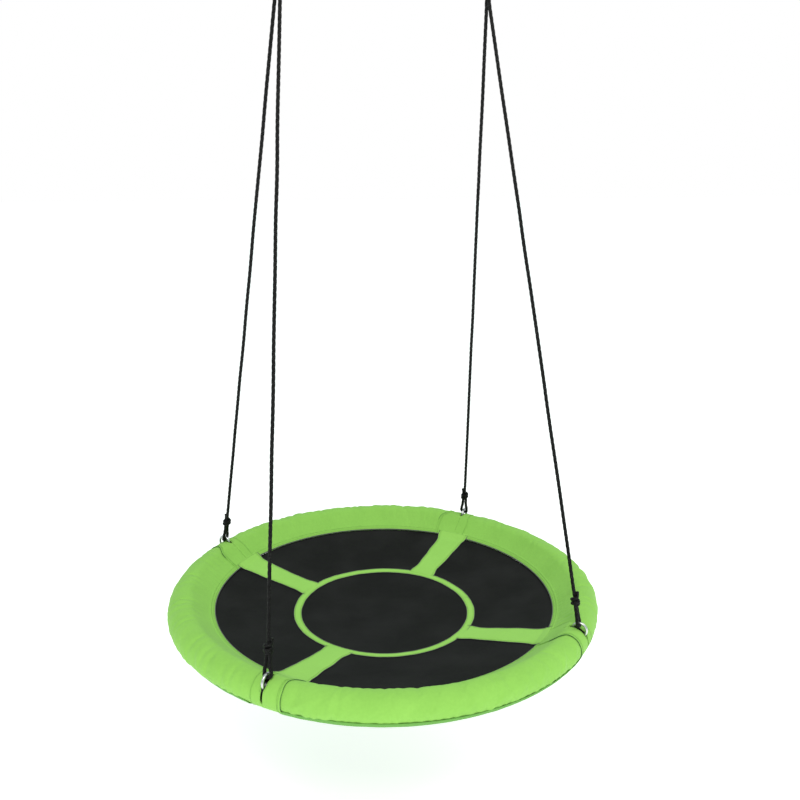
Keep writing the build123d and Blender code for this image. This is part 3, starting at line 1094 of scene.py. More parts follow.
@dataclass(frozen=True)
class Studio:
    """A camera a little above the seat, soft light all round, and a pale floor."""

    place: Colour = (-0.5622, -1.8773, -0.5086)
    yaw: float = 17.656
    pitch: float = 15.195
    roll: float = 0.463
    lens: float = 40.19
    floor_z: float = -2.02
    ambient: float = 0.64

    def camera(self) -> None:
        """Stand the camera at its place."""
        yaw, pitch, roll = (math.radians(a) for a in (self.yaw, self.pitch, self.roll))
        ahead = np.array([math.sin(yaw) * math.cos(pitch), math.cos(yaw) * math.cos(pitch), -math.sin(pitch)])
        level = np.array([math.cos(yaw), -math.sin(yaw), 0.0])
        above = np.cross(level, ahead)
        right = math.cos(roll) * level + math.sin(roll) * above
        up = math.cos(roll) * above - math.sin(roll) * level
        data = bpy.data.cameras.new("camera")
        data.sensor_width = 36.0
        data.lens = self.lens
        data.clip_end = 100.0
        camera = bpy.data.objects.new("camera", data)
        matrix = Matrix.Identity(4)
        for row in range(3):
            matrix[row][0], matrix[row][1], matrix[row][2] = right[row], up[row], -ahead[row]
            matrix[row][3] = self.place[row]
        camera.matrix_world = matrix
        bpy.context.scene.collection.objects.link(camera)
        bpy.context.scene.camera = camera

    def light(self, name: str, place: Colour, size: float, power: float, colour: Colour) -> None:
        """Hang a square soft box that faces the seat.

        Args:
            name: the light's name.
            place: where it is.
            size: its side.
            power: its power in watts.
            colour: its colour.
        """
        data = bpy.data.lights.new(name, "AREA")
        data.shape = "SQUARE"
        data.size = size
        data.energy = power
        data.color = colour
        lamp = bpy.data.objects.new(name, data)
        aim = Vector((0.0, 0.0, -1.45)) - Vector(place)
        lamp.matrix_world = Matrix.Translation(place) @ aim.to_track_quat("-Z", "Y").to_matrix().to_4x4()
        bpy.context.scene.collection.objects.link(lamp)

    def floor(self) -> None:
        """Lay the floor."""
        book = ShaderBook("studio_floor")
        tint = book.blend(book.mottle(0.6, 2.0) * 0.3, (0.93, 0.93, 0.925), (0.90, 0.90, 0.90))
        side = 30.0
        corners = np.array([[[x, y, self.floor_z] for x in (-side, side)] for y in (-side, side)])
        floor = grid_piece("studio_floor", corners)
        lit = book.dress(tint, 0.9, Emission_Color=(1.0, 1.0, 1.0), Emission_Strength=0.6)
        floor.data.materials.append(lit)

    def surround(self) -> None:
        """Light everything softly from all round, in front of a white backdrop."""
        world = bpy.data.worlds.new("studio")
        world.use_nodes = True
        tree = world.node_tree
        background = tree.nodes["Background"]
        background.inputs["Color"].default_value = (0.85, 1.0, 0.97, 1.0)
        background.inputs["Strength"].default_value = self.ambient
        backdrop = tree.nodes.new("ShaderNodeBackground")
        backdrop.inputs["Color"].default_value = (1.0, 1.0, 1.0, 1.0)
        choice, path = tree.nodes.new("ShaderNodeMixShader"), tree.nodes.new("ShaderNodeLightPath")
        tree.links.new(path.outputs["Is Camera Ray"], choice.inputs[0])
        tree.links.new(background.outputs[0], choice.inputs[1])
        tree.links.new(backdrop.outputs[0], choice.inputs[2])
        tree.links.new(choice.outputs[0], tree.nodes["World Output"].inputs[0])
        bpy.context.scene.world = world

    def build(self) -> None:
        """Set up the whole studio."""
        self.camera()
        self.surround()
        bpy.context.scene.view_settings.view_transform = "Standard"
        self.light("key_box", (-0.9, -2.8, 1.9), 1.5, 90.0, (1.0, 0.90, 0.82))
        self.light("side_box", (3.0, -0.6, 1.4), 1.8, 26.0, (1.0, 0.96, 0.9))
        self.floor()


# ---------------------------------------------------------------------------------------------
# Ropes and knots


@dataclass(frozen=True)
class TiePoint:
    """Where one leg is tied to the seat, and where it goes."""

    wire: np.ndarray
    up: np.ndarray
    across: np.ndarray
    mouth: np.ndarray


@dataclass(frozen=True)
class SideRope:
    """One side's rope: two legs with a tied eye at each foot, and the bight that hangs on the top ring."""

    side: str
    layout: Layout
    section: RopeSection = RopeSection()
    strand: float = 0.0042
    bow_reach: float = 0.026
    bow_tilt: float = 55.0
    link_radius: float = 0.015
    eye_reach: float = 0.0081
    eye_length: float = 0.035
    knot_length: float = 0.028
    knot_reach: float = 0.0066
    top_reach: float = 0.009

    def mouth(self, front: bool) -> np.ndarray:
        """Where the front or the back leg comes out of the top knot.

        Args:
            front: whether it is the front leg.

        Returns:
            The point.
        """
        x = SIDES[self.side] * self.layout.hook_x
        if self.side == "left":
            return np.array([x + (self.strand if front else -self.strand), 0.0, self.layout.mouth_z])
        return np.array([x, -self.strand if front else self.strand, self.layout.mouth_z])

    def tie(self, end: str) -> TiePoint:
        """Work out one leg's tie point.

        Args:
            end: front or back.

        Returns:
            The tie point.
        """
        leg = f"{end}_{self.side}"
        angle = math.radians(LEGS[leg])
        radial = np.array([math.cos(angle), math.sin(angle), 0.0])
        low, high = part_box(f"link_ring_{leg}")
        ring = np.array((low + high) / 2)
        tilt = math.radians(self.bow_tilt)
        bow = radial * (self.layout.rim_radius + self.bow_reach * math.cos(tilt))
        bow[2] = self.layout.seat_z + self.bow_reach * math.sin(tilt)
        wire = ring + unit(ring - bow) * self.link_radius
        mouth = self.mouth(end == "front")
        up = unit(mouth - wire)
        return TiePoint(wire, up, np.cross(up, unit(radial - up * (radial @ up))), mouth)

    def eye(self, tie: TiePoint) -> list[np.ndarray]:
        """The route from inside the knot, down round the link ring's wire and back up through the knot.

        Args:
            tie: where the leg is tied.

        Returns:
            The points of the route.
        """
        reach, half, length = self.eye_reach, self.strand, self.eye_length
        steps = (
            (-half, length + 0.020), (-half, length), (-0.0046, length * 0.55), (-reach, 0.004),
            (-reach, -0.0076), (reach, -0.0076), (reach, 0.004), (0.0046, length * 0.55), (half, length),
            (half * 0.5, length + 0.014),
            (0.0, length + self.knot_length), (0.0, length + self.knot_length + 0.05),
        )
        return [tie.wire + tie.across * side + tie.up * height for side, height in steps]

    def leg(self, tie: TiePoint) -> list[np.ndarray]:
        """The route up a leg, from above its lower knot to the top knot's mouth.

        Args:
            tie: where the leg is tied.

        Returns:
            The points of the route.
        """
        run = np.linalg.norm(tie.mouth - tie.wire)
        shares = np.linspace(0.12, 0.90, 21)
        sway = 0.0017 * np.sin(shares * math.pi)
        aside = sway * uneven(shares * 13.0, 0 * shares, tie.wire[1] * 31.0 + tie.wire[0] * 17.0)
        ahead = sway * uneven(shares * 11.0, 0 * shares, tie.wire[1] * 23.0 - tie.wire[0] * 19.0)
        turned = np.cross(tie.up, tie.across)
        points = [
            tie.wire + tie.up * run * share + tie.across * left + turned * forth
            for share, left, forth in zip(shares, aside, ahead)
        ]
        return points + [tie.mouth - tie.up * 0.05, tie.mouth]

    def bight(self) -> list[np.ndarray]:
        """The route up through the top knot, over the top ring's wire and down again."""
        x, low, top = SIDES[self.side] * self.layout.hook_x, self.layout.ring_low_z, self.layout.knot_top_z
        _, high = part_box(f"top_bight_{self.side}")
        reach = high.z - self.section.diameter / 2 - low
        half = self.strand
        steps = (
            (half, top - 0.022), (half, top), ((half + reach) / 2, top + 0.015), (reach, low - 0.008),
            (reach, low + reach), (-reach, low + reach), (-reach, low - 0.008),
            (-(half + reach) / 2, top + 0.015), (-half, top), (-half, top - 0.022),
        )
        return [np.array([x + side, 0.0, z]) for side, z in steps]

    def route(self, front: TiePoint, back: TiePoint) -> list[np.ndarray]:
        """The whole rope's route, from the front knot to the back one.

        Args:
            front: where the front leg is tied.
            back: where the back leg is tied.

        Returns:
            The points of the route.
        """
        up = self.eye(front) + self.leg(front)
        down = self.eye(back) + self.leg(back)
        return up + self.bight() + down[::-1]

    def coil(
        self, foot: np.ndarray, axis: np.ndarray, reach: float, length: float, phase: float,
    ) -> np.ndarray:
        """Rope wound closely round an axis, its two ends tucked in.

        Args:
            foot: the knot's lower end.
            axis: the direction up the knot.
            reach: the distance from the axis to the rope's middle.
            length: the knot's length.
            phase: where the winding starts.

        Returns:
            The points down the wound rope's middle.
        """
        diameter = self.section.diameter
        level = np.array([0.0, 1.0, 0.0]) if abs(axis[1]) < 0.8 else np.array([1.0, 0.0, 0.0])
        side = unit(np.cross(axis, level))
        other = np.cross(axis, side)
        turns = (length - diameter) / (diameter * 0.98)
        share = np.linspace(0.0, 1.0, int(48 * turns) + 24)
        angle = phase + 2 * math.pi * turns * share
        tucked = 0.35 + 0.65 * eased(share, 0.0, 0.16) * eased(1.0 - share, 0.0, 0.16)
        lean = 0.0009 * np.sin(angle * 0.5 + phase)
        height = diameter / 2 + (length - diameter) * share + lean
        around = np.cos(angle)[:, None] * side + np.sin(angle)[:, None] * other
        return foot + axis * height[:, None] + around * (reach * tucked)[:, None]

    def tail(self, foot: np.ndarray, axis: np.ndarray, length: float, phase: float) -> np.ndarray:
        """The rope's cut end, which stands out of the knot's top.

        Args:
            foot: the knot's lower end.
            axis: the direction up the knot.
            length: the knot's length.
            phase: the way round the knot that the end leans.

        Returns:
            The points down the end's middle.
        """
        side = unit(np.cross(axis, np.array([0.0, 1.0, 0.0])))
        away = math.cos(phase) * side + math.sin(phase) * np.cross(axis, side)
        steps = ((0.003, -0.012), (0.0050, -0.006), (0.0066, 0.001), (0.0074, 0.0055))
        return np.array([foot + away * out + axis * (length + rise) for out, rise in steps])

    def knots(self, front: TiePoint, back: TiePoint, wardrobe: "Wardrobe") -> list[bpy.types.Object]:
        """Wind the two lower knots and the top one.

        Args:
            front: the front leg's tie point.
            back: the back leg's tie point.
            wardrobe: the materials.

        Returns:
            The three knots.
        """
        made = []
        for end, tie, phase in (("front", front, 0.7), ("back", back, 2.9)):
            foot = tie.wire + tie.up * self.eye_length
            name = f"wound_knot_{end}_{self.side}"
            winding = self.coil(foot, tie.up, self.knot_reach, self.knot_length, phase)
            stub = nurbs_line(f"{name}_end", self.tail(foot, tie.up, self.knot_length, phase + 2.2))
            wound = self.section.sweep(name, winding, phase)
            parts = [wound, self.section.sweep(f"{name}_end", stub, phase + 5.0)]
            knot = join(name, parts)
            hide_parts(f"lower_knot_{end}_{self.side}")
            made.append(knot)
        foot = np.array([SIDES[self.side] * self.layout.hook_x, 0.0, self.layout.mouth_z])
        length = self.layout.knot_top_z - self.layout.mouth_z
        winding = self.coil(foot, np.array([0.0, 0.0, 1.0]), self.top_reach, length, 1.3)
        top = self.section.sweep(f"wound_knot_top_{self.side}", winding, 9.0)
        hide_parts(f"top_knot_{self.side}")
        made.append(top)
        for knot in made:
            wardrobe.dress(knot, Slot.ROPE)
            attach(knot, f"{self.side}_ropes")
        return made

    def build(self, wardrobe: "Wardrobe") -> int:
        """Lay the rope and its knots.

        Args:
            wardrobe: the materials.

        Returns:
            How many pieces were made.
        """
        front, back = self.tie("front"), self.tie("back")
        line = nurbs_line(f"route_{self.side}", self.route(front, back))
        name = f"rope_run_{self.side}"
        rope = self.section.sweep(name, line, 3.0)
        knots = self.knots(front, back, wardrobe)
        wardrobe.dress(rope, Slot.ROPE)
        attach(rope, f"{self.side}_ropes")
        parts = [f"{part}_{end}_{self.side}" for end in ("front", "back") for part in ("rope", "lower_eye")]
        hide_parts(f"top_bight_{self.side}", *parts)
        return 1 + len(knots)


# ---------------------------------------------------------------------------------------------
# Rim cover


@dataclass(frozen=True)
class Slit:
    """The sewn opening that a link ring stands in."""

    middle: float = 69.0
    half_length: float = 0.0212
    half_width: float = 0.0046
    parting: float = 0.0023
    parting_low: float = -18.0

    def opening(self, turn: np.ndarray, section: float) -> np.ndarray:
        """Half of how wide the slit is at each place round the section.

        Args:
            turn: the angle round the section, in degrees.
            section: the rim section's radius.

        Returns:
            Half the width, in metres.
        """
        away = np.radians((turn - self.middle + 180.0) % 360.0 - 180.0)
        reach = np.where(np.abs(away) < math.pi / 2, np.abs(section * np.sin(away)), 1.0) / self.half_length
        wide = self.half_width * np.sqrt(np.clip(1.0 - np.minimum(reach, 1.0) ** 4, 0.0, 1.0))
        parting = self.parting * eased(turn, self.parting_low, self.parting_low + 8.0) * (turn < self.middle)
        return np.maximum(wide, parting)


@dataclass(frozen=True)
class ClothRun:
    """A short cloth simulation, after which a piece keeps the shape that its cloth settled in."""

    frames: int = 14
    pressure: float = 60.0
    growth: float = 0.02
    mass: float = 0.05

    def settle(self, piece: bpy.types.Object, held: np.ndarray) -> np.ndarray:
        """Let the cloth go slack and puff up between the places where it is sewn.

        Args:
            piece: the cut cloth, removed afterwards.
            held: how firmly each point is held, from 0 to 1.

        Returns:
            Where each point settled.
        """
        group = piece.vertex_groups.new(name="sewn")
        for index, weight in enumerate(held.ravel().tolist()):
            group.add([index], weight, "REPLACE")
        cloth = piece.modifiers.new("cloth", "CLOTH")
        settings = cloth.settings
        settings.quality = 5
        settings.mass = self.mass
        settings.tension_stiffness, settings.compression_stiffness = 15.0, 15.0
        settings.shear_stiffness, settings.bending_stiffness = 5.0, 0.3
        settings.effector_weights.gravity = 0.0
        settings.use_pressure, settings.uniform_pressure_force = True, self.pressure
        settings.shrink_min = -self.growth
        settings.vertex_group_mass = group.name
        cloth.collision_settings.use_collision = False
        cloth.point_cache.frame_start, cloth.point_cache.frame_end = 1, self.frames
        for number in range(1, self.frames + 1):
            bpy.context.scene.frame_set(number)
        settled = piece.evaluated_get(bpy.context.evaluated_depsgraph_get()).to_mesh()
        flat = np.empty(len(settled.vertices) * 3)
        settled.vertices.foreach_get("co", flat)
        bpy.data.objects.remove(piece)
        bpy.context.scene.frame_set(1)
        return flat.reshape(-1, 3)


@dataclass(frozen=True)
class RimCover:
    """The padded rim's cloth: four sewn panels, each round a quarter of the foam."""

    layout: Layout
    slit: Slit = Slit()
    cloth: float = 0.0009
    seam: float = 0.00025
    rows: int = 176
    columns: int = 84
    cloth_run: ClothRun = ClothRun()
    reach: float = 0.005
    sink: float = 0.0010
    lower_seam: float = -25.0
    fullness: dict[str, float] = field(
        default_factory=lambda: {"right": 0.006, "left": 0.007, "back": 0.002, "front": 0.0}
    )

    def relief(self, run: np.ndarray, turn: np.ndarray, seed: float) -> np.ndarray:
        """How far the cloth stands off its even round: creases across the rim, gathers at seams, slackness.

        Args:
            run: the distance round the ring, in metres.
            turn: the angle round the section, from -90 to 270 degrees.
            seed: which panel it is.

        Returns:
            The height, in metres.
        """
        angle = np.radians(turn)
        slack = 0.0013 * uneven(run * 7.0, angle * 0.7, seed)
        slant = run * 24.0 + 0.8 * np.sin(angle + seed)
        crossing = np.abs(uneven(slant, angle * 0.55, seed + 11.0))
        strength = np.clip(0.55 + 1.2 * uneven(run * 6.0, angle * 0.9, seed + 23.0), 0.0, 1.0)
        creases = 0.0034 * np.clip(1.0 - 3.4 * crossing, 0.0, 1.0) ** 1.5 * strength * hump(turn, 20.0, 62.0)
        wander = 2.5 * uneven(run * 30.0, angle * 0.3, seed + 31.0)
        gathers = 0.0008 * np.sin(run * (2 * math.pi / 0.015) + wander) * hump(turn, 172.0, 14.0) * strength
        drift = 3.0 * uneven(run * 16.0, angle * 0.25, seed + 41.0) + 0.5 * angle
        patch = np.clip(0.35 + 1.5 * uneven(run * 9.0, angle * 0.6, seed + 47.0), 0.0, 1.0)
        ridges = np.abs(np.sin(run * (math.pi / 0.027) + drift)) ** 0.8 - 0.5
        puckers = 0.0034 * ridges * patch * (hump(turn, 42.0, 46.0) + 0.7 * hump(turn, 132.0, 22.0))
        gathers = gathers + puckers
        beside_tape = hump(turn, self.lower_seam + 4.0, 17.0)
        lower = 0.0007 * np.sin(run * (2 * math.pi / 0.019) + 1.7 * wander) * beside_tape
        ridge = 0.0009 * (hump(turn, 157.0, 1.8) + hump(turn, 151.5, 1.8))
        return slack + creases + gathers + lower + ridge

    def settled(
        self, place: str, points: np.ndarray, around: np.ndarray, turn: np.ndarray, tied: np.ndarray,
    ) -> np.ndarray:
        """Let a panel's cloth puff up, and keep as much of it as the foam and the seams allow.

        Args:
            place: which quarter of the rim the panel covers.
            points: the panel as it was cut.
            around: the angle round the ring at each point, in degrees.
            turn: the place across the rim, in degrees.
            tied: the distance from the panel's nearer end, in metres.

        Returns:
            The points after the cloth has settled.
        """
        hemmed = eased(turn, 148.0, 160.0) * (1.0 - eased(turn, 215.0, 230.0))
        taped = 1.0 - eased(turn, self.lower_seam + 1.0, self.lower_seam + 12.0)
        held = np.maximum(1.0 - eased(tied, 0.012, 0.030), np.maximum(hemmed, taped))
        cut = grid_piece(f"cut_panel_{place}", points, None, wrap_columns=True)
        cut.data.flip_normals()  # the pressure pushes along the normals, so they face away from the foam
        moved = self.cloth_run.settle(cut, held).reshape(points.shape) - points
        out = self.layout.outward(around, turn)
        rise = np.sum(moved * out, -1, keepdims=True)
        aside = 0.5 * (moved - out * rise)
        length = np.maximum(np.linalg.norm(aside, axis=-1, keepdims=True), 1e-9)
        aside = aside * np.minimum(1.0, self.reach / length)
        inner_side = eased(turn, 92.0, 138.0) * (1.0 - eased(turn, 200.0, 230.0))
        calm = (0.12 + 0.88 * eased(tied, 0.050, 0.090)) * (1.0 - 0.85 * inner_side)
        stopped = float(np.mean((rise > self.reach) | (rise < -self.sink)))
        LOG.info(
            "panel %s settled, rise %.1f to %.1f mm, %.0f%% of points stopped by the cap, %.1f mm aside",
            place, 1000 * rise.min(), 1000 * rise.max(), 100 * stopped, 1000 * length.max(),
        )
        return points + (out * np.clip(rise, -self.sink, self.reach) + aside) * calm[..., None]

    def panel(self, place: str, seed: float) -> bpy.types.Object:
        """Sew one panel.

        Args:
            place: which quarter of the rim it covers.
            seed: its own creases.

        Returns:
            The panel.
        """
        layout = self.layout
        turn = np.linspace(-90.0, 270.0, self.columns, endpoint=False)[None, :]
        gap = np.degrees((self.seam + self.slit.opening(turn, layout.section) * 1.12) / layout.rim_radius)
        share = np.linspace(-1.0, 1.0, self.rows)[:, None]
        around = QUARTERS[place] + share * (45.0 - gap)
        run = np.radians(around) * layout.rim_radius
        tied = np.radians((1.0 - np.abs(share)) * 45.0) * layout.rim_radius
        free = eased(tied, 0.030, 0.055)
        height = self.relief(run, turn, seed)
        height = height * free + np.minimum(height, 0.0) * (1.0 - free) * 0.4 - 0.0004 * (1.0 - free)
        swell = self.fullness[place] * np.clip(np.cos(np.radians(turn - 5.0)), 0.0, 1.0) ** 1.5
        swell = swell * np.cos(share * math.pi / 2) ** 1.2
        points = layout.rim(around, turn, np.maximum(height, -0.0006) + swell)
        points = self.settled(place, points, around, turn, tied)
        nearness = hump(turn, self.lower_seam, 1.6) + hump(np.broadcast_to(tied, around.shape), 0.0, 0.002)
        lay = np.stack([run + 0 * turn, layout.cloth_run(turn) + 0 * run, np.clip(nearness, 0, 1)], -1)
        piece = grid_piece(f"cover_panel_{place}", points, lay, wrap_columns=True)
        smooth(piece, 1)
        solidify(piece, self.cloth)
        return apply_modifiers(piece)

    def closure(self, place: str) -> bpy.types.Object:
        """The band that shuts a panel under the rim: a soft strip with rounded ends.

        Args:
            place: which quarter of the rim it shuts.

        Returns:
            The band.
        """
        layout = self.layout
        share = np.linspace(-1.0, 1.0, 150)[:, None]
        across = np.linspace(0.0, 1.0, 12)[None, :]
        ends = np.sqrt(np.clip(1.0 - np.abs(share) ** 60, 0.0, 1.0))
        low, high = -84.0, self.lower_seam
        middle = (low + high) / 2
        turn = middle + (across - 0.5) * (high - low) * (0.55 + 0.45 * ends)
        around = QUARTERS[place] + share * 40.6
        run = np.radians(around) * layout.rim_radius
        lip = 0.0013 - 0.0007 * (hump(across, 0.0, 0.06) + hump(across, 1.0, 0.06))
        wave = 0.0005 * uneven(run * 40.0, across * 1.5, QUARTERS[place])
        points = layout.rim(around, turn, lip + wave + 0.0011)
        lay = np.stack([run + 0 * turn, turn * math.pi / 180 * layout.section, 0 * turn], -1)
        piece = solidify(smooth(grid_piece(f"closure_band_{place}", points, lay)), 0.0011)
        return apply_modifiers(piece)

    def build(self, wardrobe: "Wardrobe") -> int:
        """Sew and dress the panels and their closures.

        Args:
            wardrobe: the materials.

        Returns:
            How many pieces were made.
        """
        made = 0
        for number, place in enumerate(QUARTERS):
            panel = self.panel(place, 3.7 + 10.0 * number)
            wardrobe.dress(panel, Slot.GREEN)
            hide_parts(f"rim_cover_{place}")
            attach(panel, "saucer")
            band = self.closure(place)
            wardrobe.dress(band, Slot.TAPE)
            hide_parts("cover_closures")
            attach(band, "saucer")
            made += 2
            LOG.info("rim cover panel %s, %d points", place, len(panel.data.vertices))
        return made


@dataclass(frozen=True)
class StrapWrap:
    """The outer end of a strip, taken over the rim at a hanging point, with a stitched slit for the ring."""

    layout: Layout
    slit: Slit = Slit()
    cloth: float = 0.0012
    stand: float = 0.0017
    half_width: float = 0.0355
    shift: dict[str, float] = field(
        default_factory=lambda: {"front_left": 1.0, "front_right": -1.0, "back_right": 1.0, "back_left": 1.0}
    )
    low: float = -60.0
    high: float = 180.0

    def half(self, leg: str, way: float, turn: np.ndarray) -> np.ndarray:
        """How far the wrap's edge is from the slit, on the side that way (1 or -1) gives.

        Args:
            leg: which hanging point.
            way: 1 or -1, the way round the ring.
            turn: the places across the rim, in degrees.

        Returns:
            The distances, in metres.
        """
        open_side = way * self.shift[leg] > 0
        flare = (0.022 if open_side else 0.004) * eased(turn, 84.0 if open_side else 118.0, 140.0)
        wave = 0.0012 * uneven(np.radians(turn) * 1.6, np.full_like(turn, way * 3.0), LEGS[leg])
        return self.half_width + (0.005 if open_side else -0.006) + flare + wave

    def side(self, leg: str, way: float) -> bpy.types.Object:
        """Half of a wrap, from the slit's line to one edge.

        Args:
            leg: which hanging point.
            way: 1 or -1, the way round the ring that this half goes.

        Returns:
            The half, still without thickness.
        """
        layout = self.layout
        turn = np.linspace(self.low, self.high, 120)[:, None]
        inner = self.slit.opening(turn, layout.section)
        outer = self.half(leg, way, turn)
        across = np.linspace(0.0, 1.0, 22)[None, :] ** 0.9
        away = inner + (outer - inner) * across
        from_edge = outer - away
        fold = 0.0004 * (1.0 - eased(from_edge, 0.004, 0.0065)) * (way * self.shift[leg] > 0)
        raised = 0.0014 if way * self.shift[leg] > 0 else 0.0
        lift = raised * hump(from_edge, 0.0, 0.004) * (0.6 + 0.4 * np.sin(np.radians(turn) * 5.0 + LEGS[leg]))
        lip = 0.0006 * hump(away - inner, 0.0, 0.0022) * (inner > 1e-6)
        soft = 0.0004 * uneven(np.radians(turn) * 3.0, away * 90.0, LEGS[leg] + 7.0 * way)
        around = LEGS[leg] + way * np.degrees(away / layout.rim_radius)
        sunk = 0.0008 * (1.0 - eased(from_edge, 0.0, 0.009)) * (way * self.shift[leg] < 0)
        points = layout.rim(around, turn, self.stand + fold + lift + lip + soft - sunk)
        sewn = hump(from_edge, 0.0045, 0.0012) + hump(away - inner, 0.0, 0.0012) * (inner > 1e-6)
        # The last number also darkens the cloth along both of the wrap's edges: painted shade under the
        # edges.
        lay = np.stack([np.radians(around) * layout.rim_radius, layout.cloth_run(turn) + 0 * away,
                        np.clip(sewn + hump(from_edge, 0.0, 0.0008), 0, 1)], -1)
        return grid_piece(f"wrap_half_{leg}_{way:+.0f}", points, lay)

    def stitches(self, leg: str, wardrobe: "Wardrobe") -> bpy.types.Object:
        """The stitch rows inside both edges and round the slit.

        Args:
            leg: which hanging point.
            wardrobe: the materials.

        Returns:
            The stitches, as one piece.
        """
        layout = self.layout
        rows = []
        turn = np.linspace(self.low + 3.0, self.high - 1.0, 90)
        for way in (-1.0, 1.0):
            for inset in (0.0050, 0.0078) if way * self.shift[leg] > 0 else (0.0050,):
                around = LEGS[leg] + way * np.degrees((self.half(leg, way, turn) - inset) / layout.rim_radius)
                line = layout.rim(around, turn, np.full_like(turn, self.stand + 0.0004))
                rows.append(stitch_row("row", line, layout.outward(around, turn), 0.0032, 0.0007))
            near = np.linspace(25.0, 113.0, 60)
            open_by = self.slit.opening(near, layout.section) + 0.0026
            around = LEGS[leg] + way * np.degrees(open_by / layout.rim_radius)
            line = layout.rim(around, near, np.full_like(near, self.stand + 0.0006))
            rows.append(stitch_row("row", line, layout.outward(around, near), 0.0022, 0.0007))
        made = join(f"wrap_stitches_{leg}", rows)
        wardrobe.dress(made, Slot.GREEN, wardrobe.thread)
        return made

    def edge_shadow_cord(self, leg: str, wardrobe: "Wardrobe") -> bpy.types.Object:
        """A dark green cord along the edge that isn't sewn down, standing for the shadow under that edge:
        painted shade.

        Args:
            leg: which hanging point.
            wardrobe: the materials.

        Returns:
            The edge.
        """
        layout, way = self.layout, self.shift[leg]
        turn = np.linspace(self.low, 141.0, 150)
        around = LEGS[leg] + way * np.degrees((self.half(leg, way, turn) + 0.0001) / layout.rim_radius)
        line = layout.rim(around, turn, np.full_like(turn, self.stand + 0.0006))
        made = RopeSection(0.0013, 2, 0.004, 8, 0.1, 0.0022).sweep(f"wrap_edge_shadow_{leg}", line, LEGS[leg])
        wardrobe.dress(made, Slot.GREEN, wardrobe.edge)
        return made

    def build(self, wardrobe: "Wardrobe") -> int:
        """Sew and dress the four wraps.

        Args:
            wardrobe: the materials.

        Returns:
            How many pieces were made.
        """
        for leg in LEGS:
            wrap = merge(join(f"strap_over_rim_{leg}", [self.side(leg, -1.0), self.side(leg, 1.0)]))
            apply_modifiers(smooth(solidify(wrap, self.cloth), 1))
            wardrobe.dress(wrap, Slot.GREEN)
            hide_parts(f"strap_wrap_{leg}")
            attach(wrap, "saucer")
            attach(self.stitches(leg, wardrobe), "saucer")
            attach(self.edge_shadow_cord(leg, wardrobe), "saucer")
            LOG.info("strap over the rim %s", leg)
        return 3 * len(LEGS)


# ---------------------------------------------------------------------------------------------
# Mat and its trims


@dataclass(frozen=True)
class Mat:
    """The dished mat of dark mesh cloth."""

    layout: Layout
    cloth: float = 0.0024
    rings: int = 84
    sectors: int = 224

    def top(self, radius: np.ndarray, angle: np.ndarray) -> np.ndarray:
        """The height of the mat's top face, with its soft pulls and hollows.

        Args:
            radius: the distance from the middle, in metres.
            angle: the angle round it, in radians.

        Returns:
            The height.
        """
        share = np.clip(radius / self.layout.mat_radius, 0.0, 1.0)
        x, y = radius * np.cos(angle), radius * np.sin(angle)
        pull = 0.0022 * np.cos(4 * (angle - math.pi / 4)) * share**2 * (1.0 - share**6)
        soft = 0.0014 * uneven(x * 8.0, y * 8.0, 5.0) * (1.0 - share**8)
        return self.layout.dish(radius) + pull + soft - 0.0010

    def surface(self, x: np.ndarray, y: np.ndarray, lift: float) -> np.ndarray:
        """Points a little above the mat, at places seen from above.

        Args:
            x: how far along the hook line, in metres.
            y: how far fore and aft, in metres.
            lift: how far above the mat, in metres.

        Returns:
            The points.
        """
        radius = np.hypot(x, y)
        return np.stack([x, y, self.top(radius, np.arctan2(y, x)) + lift], -1)

    def build(self, wardrobe: "Wardrobe") -> bpy.types.Object:
        """Cut and dress the mat.

        Args:
            wardrobe: the materials.

        Returns:
            The mat.
        """
        radius = np.linspace(0.004, self.layout.mat_radius + 0.0004, self.rings)[:, None]
        angle = np.linspace(0.0, 2 * math.pi, self.sectors, endpoint=False)[None, :]
        points = self.surface(radius * np.cos(angle), radius * np.sin(angle), 0.0)
        lay = np.stack([points[..., 0], points[..., 1], 0 * points[..., 0]], -1)
        mat = grid_piece("seat_mesh", points, lay, wrap_columns=True)
        centre = bmesh.new()
        centre.from_mesh(mat.data)
        rim = [e for e in centre.edges if e.is_boundary and e.verts[0].co.xy.length < 0.01]
        bmesh.ops.contextual_create(centre, geom=rim)
        bmesh.ops.recalc_face_normals(centre, faces=centre.faces)
        up = sum(f.normal.z for f in centre.faces)
        if up < 0:
            bmesh.ops.reverse_faces(centre, faces=centre.faces)
        centre.to_mesh(mat.data)
        centre.free()
        mat = apply_modifiers(solidify(mat, self.cloth))
        wardrobe.dress(mat, Slot.BLACK)
        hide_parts("seat_mat")
        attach(mat, "saucer")
        LOG.info("mat, %d points", len(mat.data.vertices))
        return mat


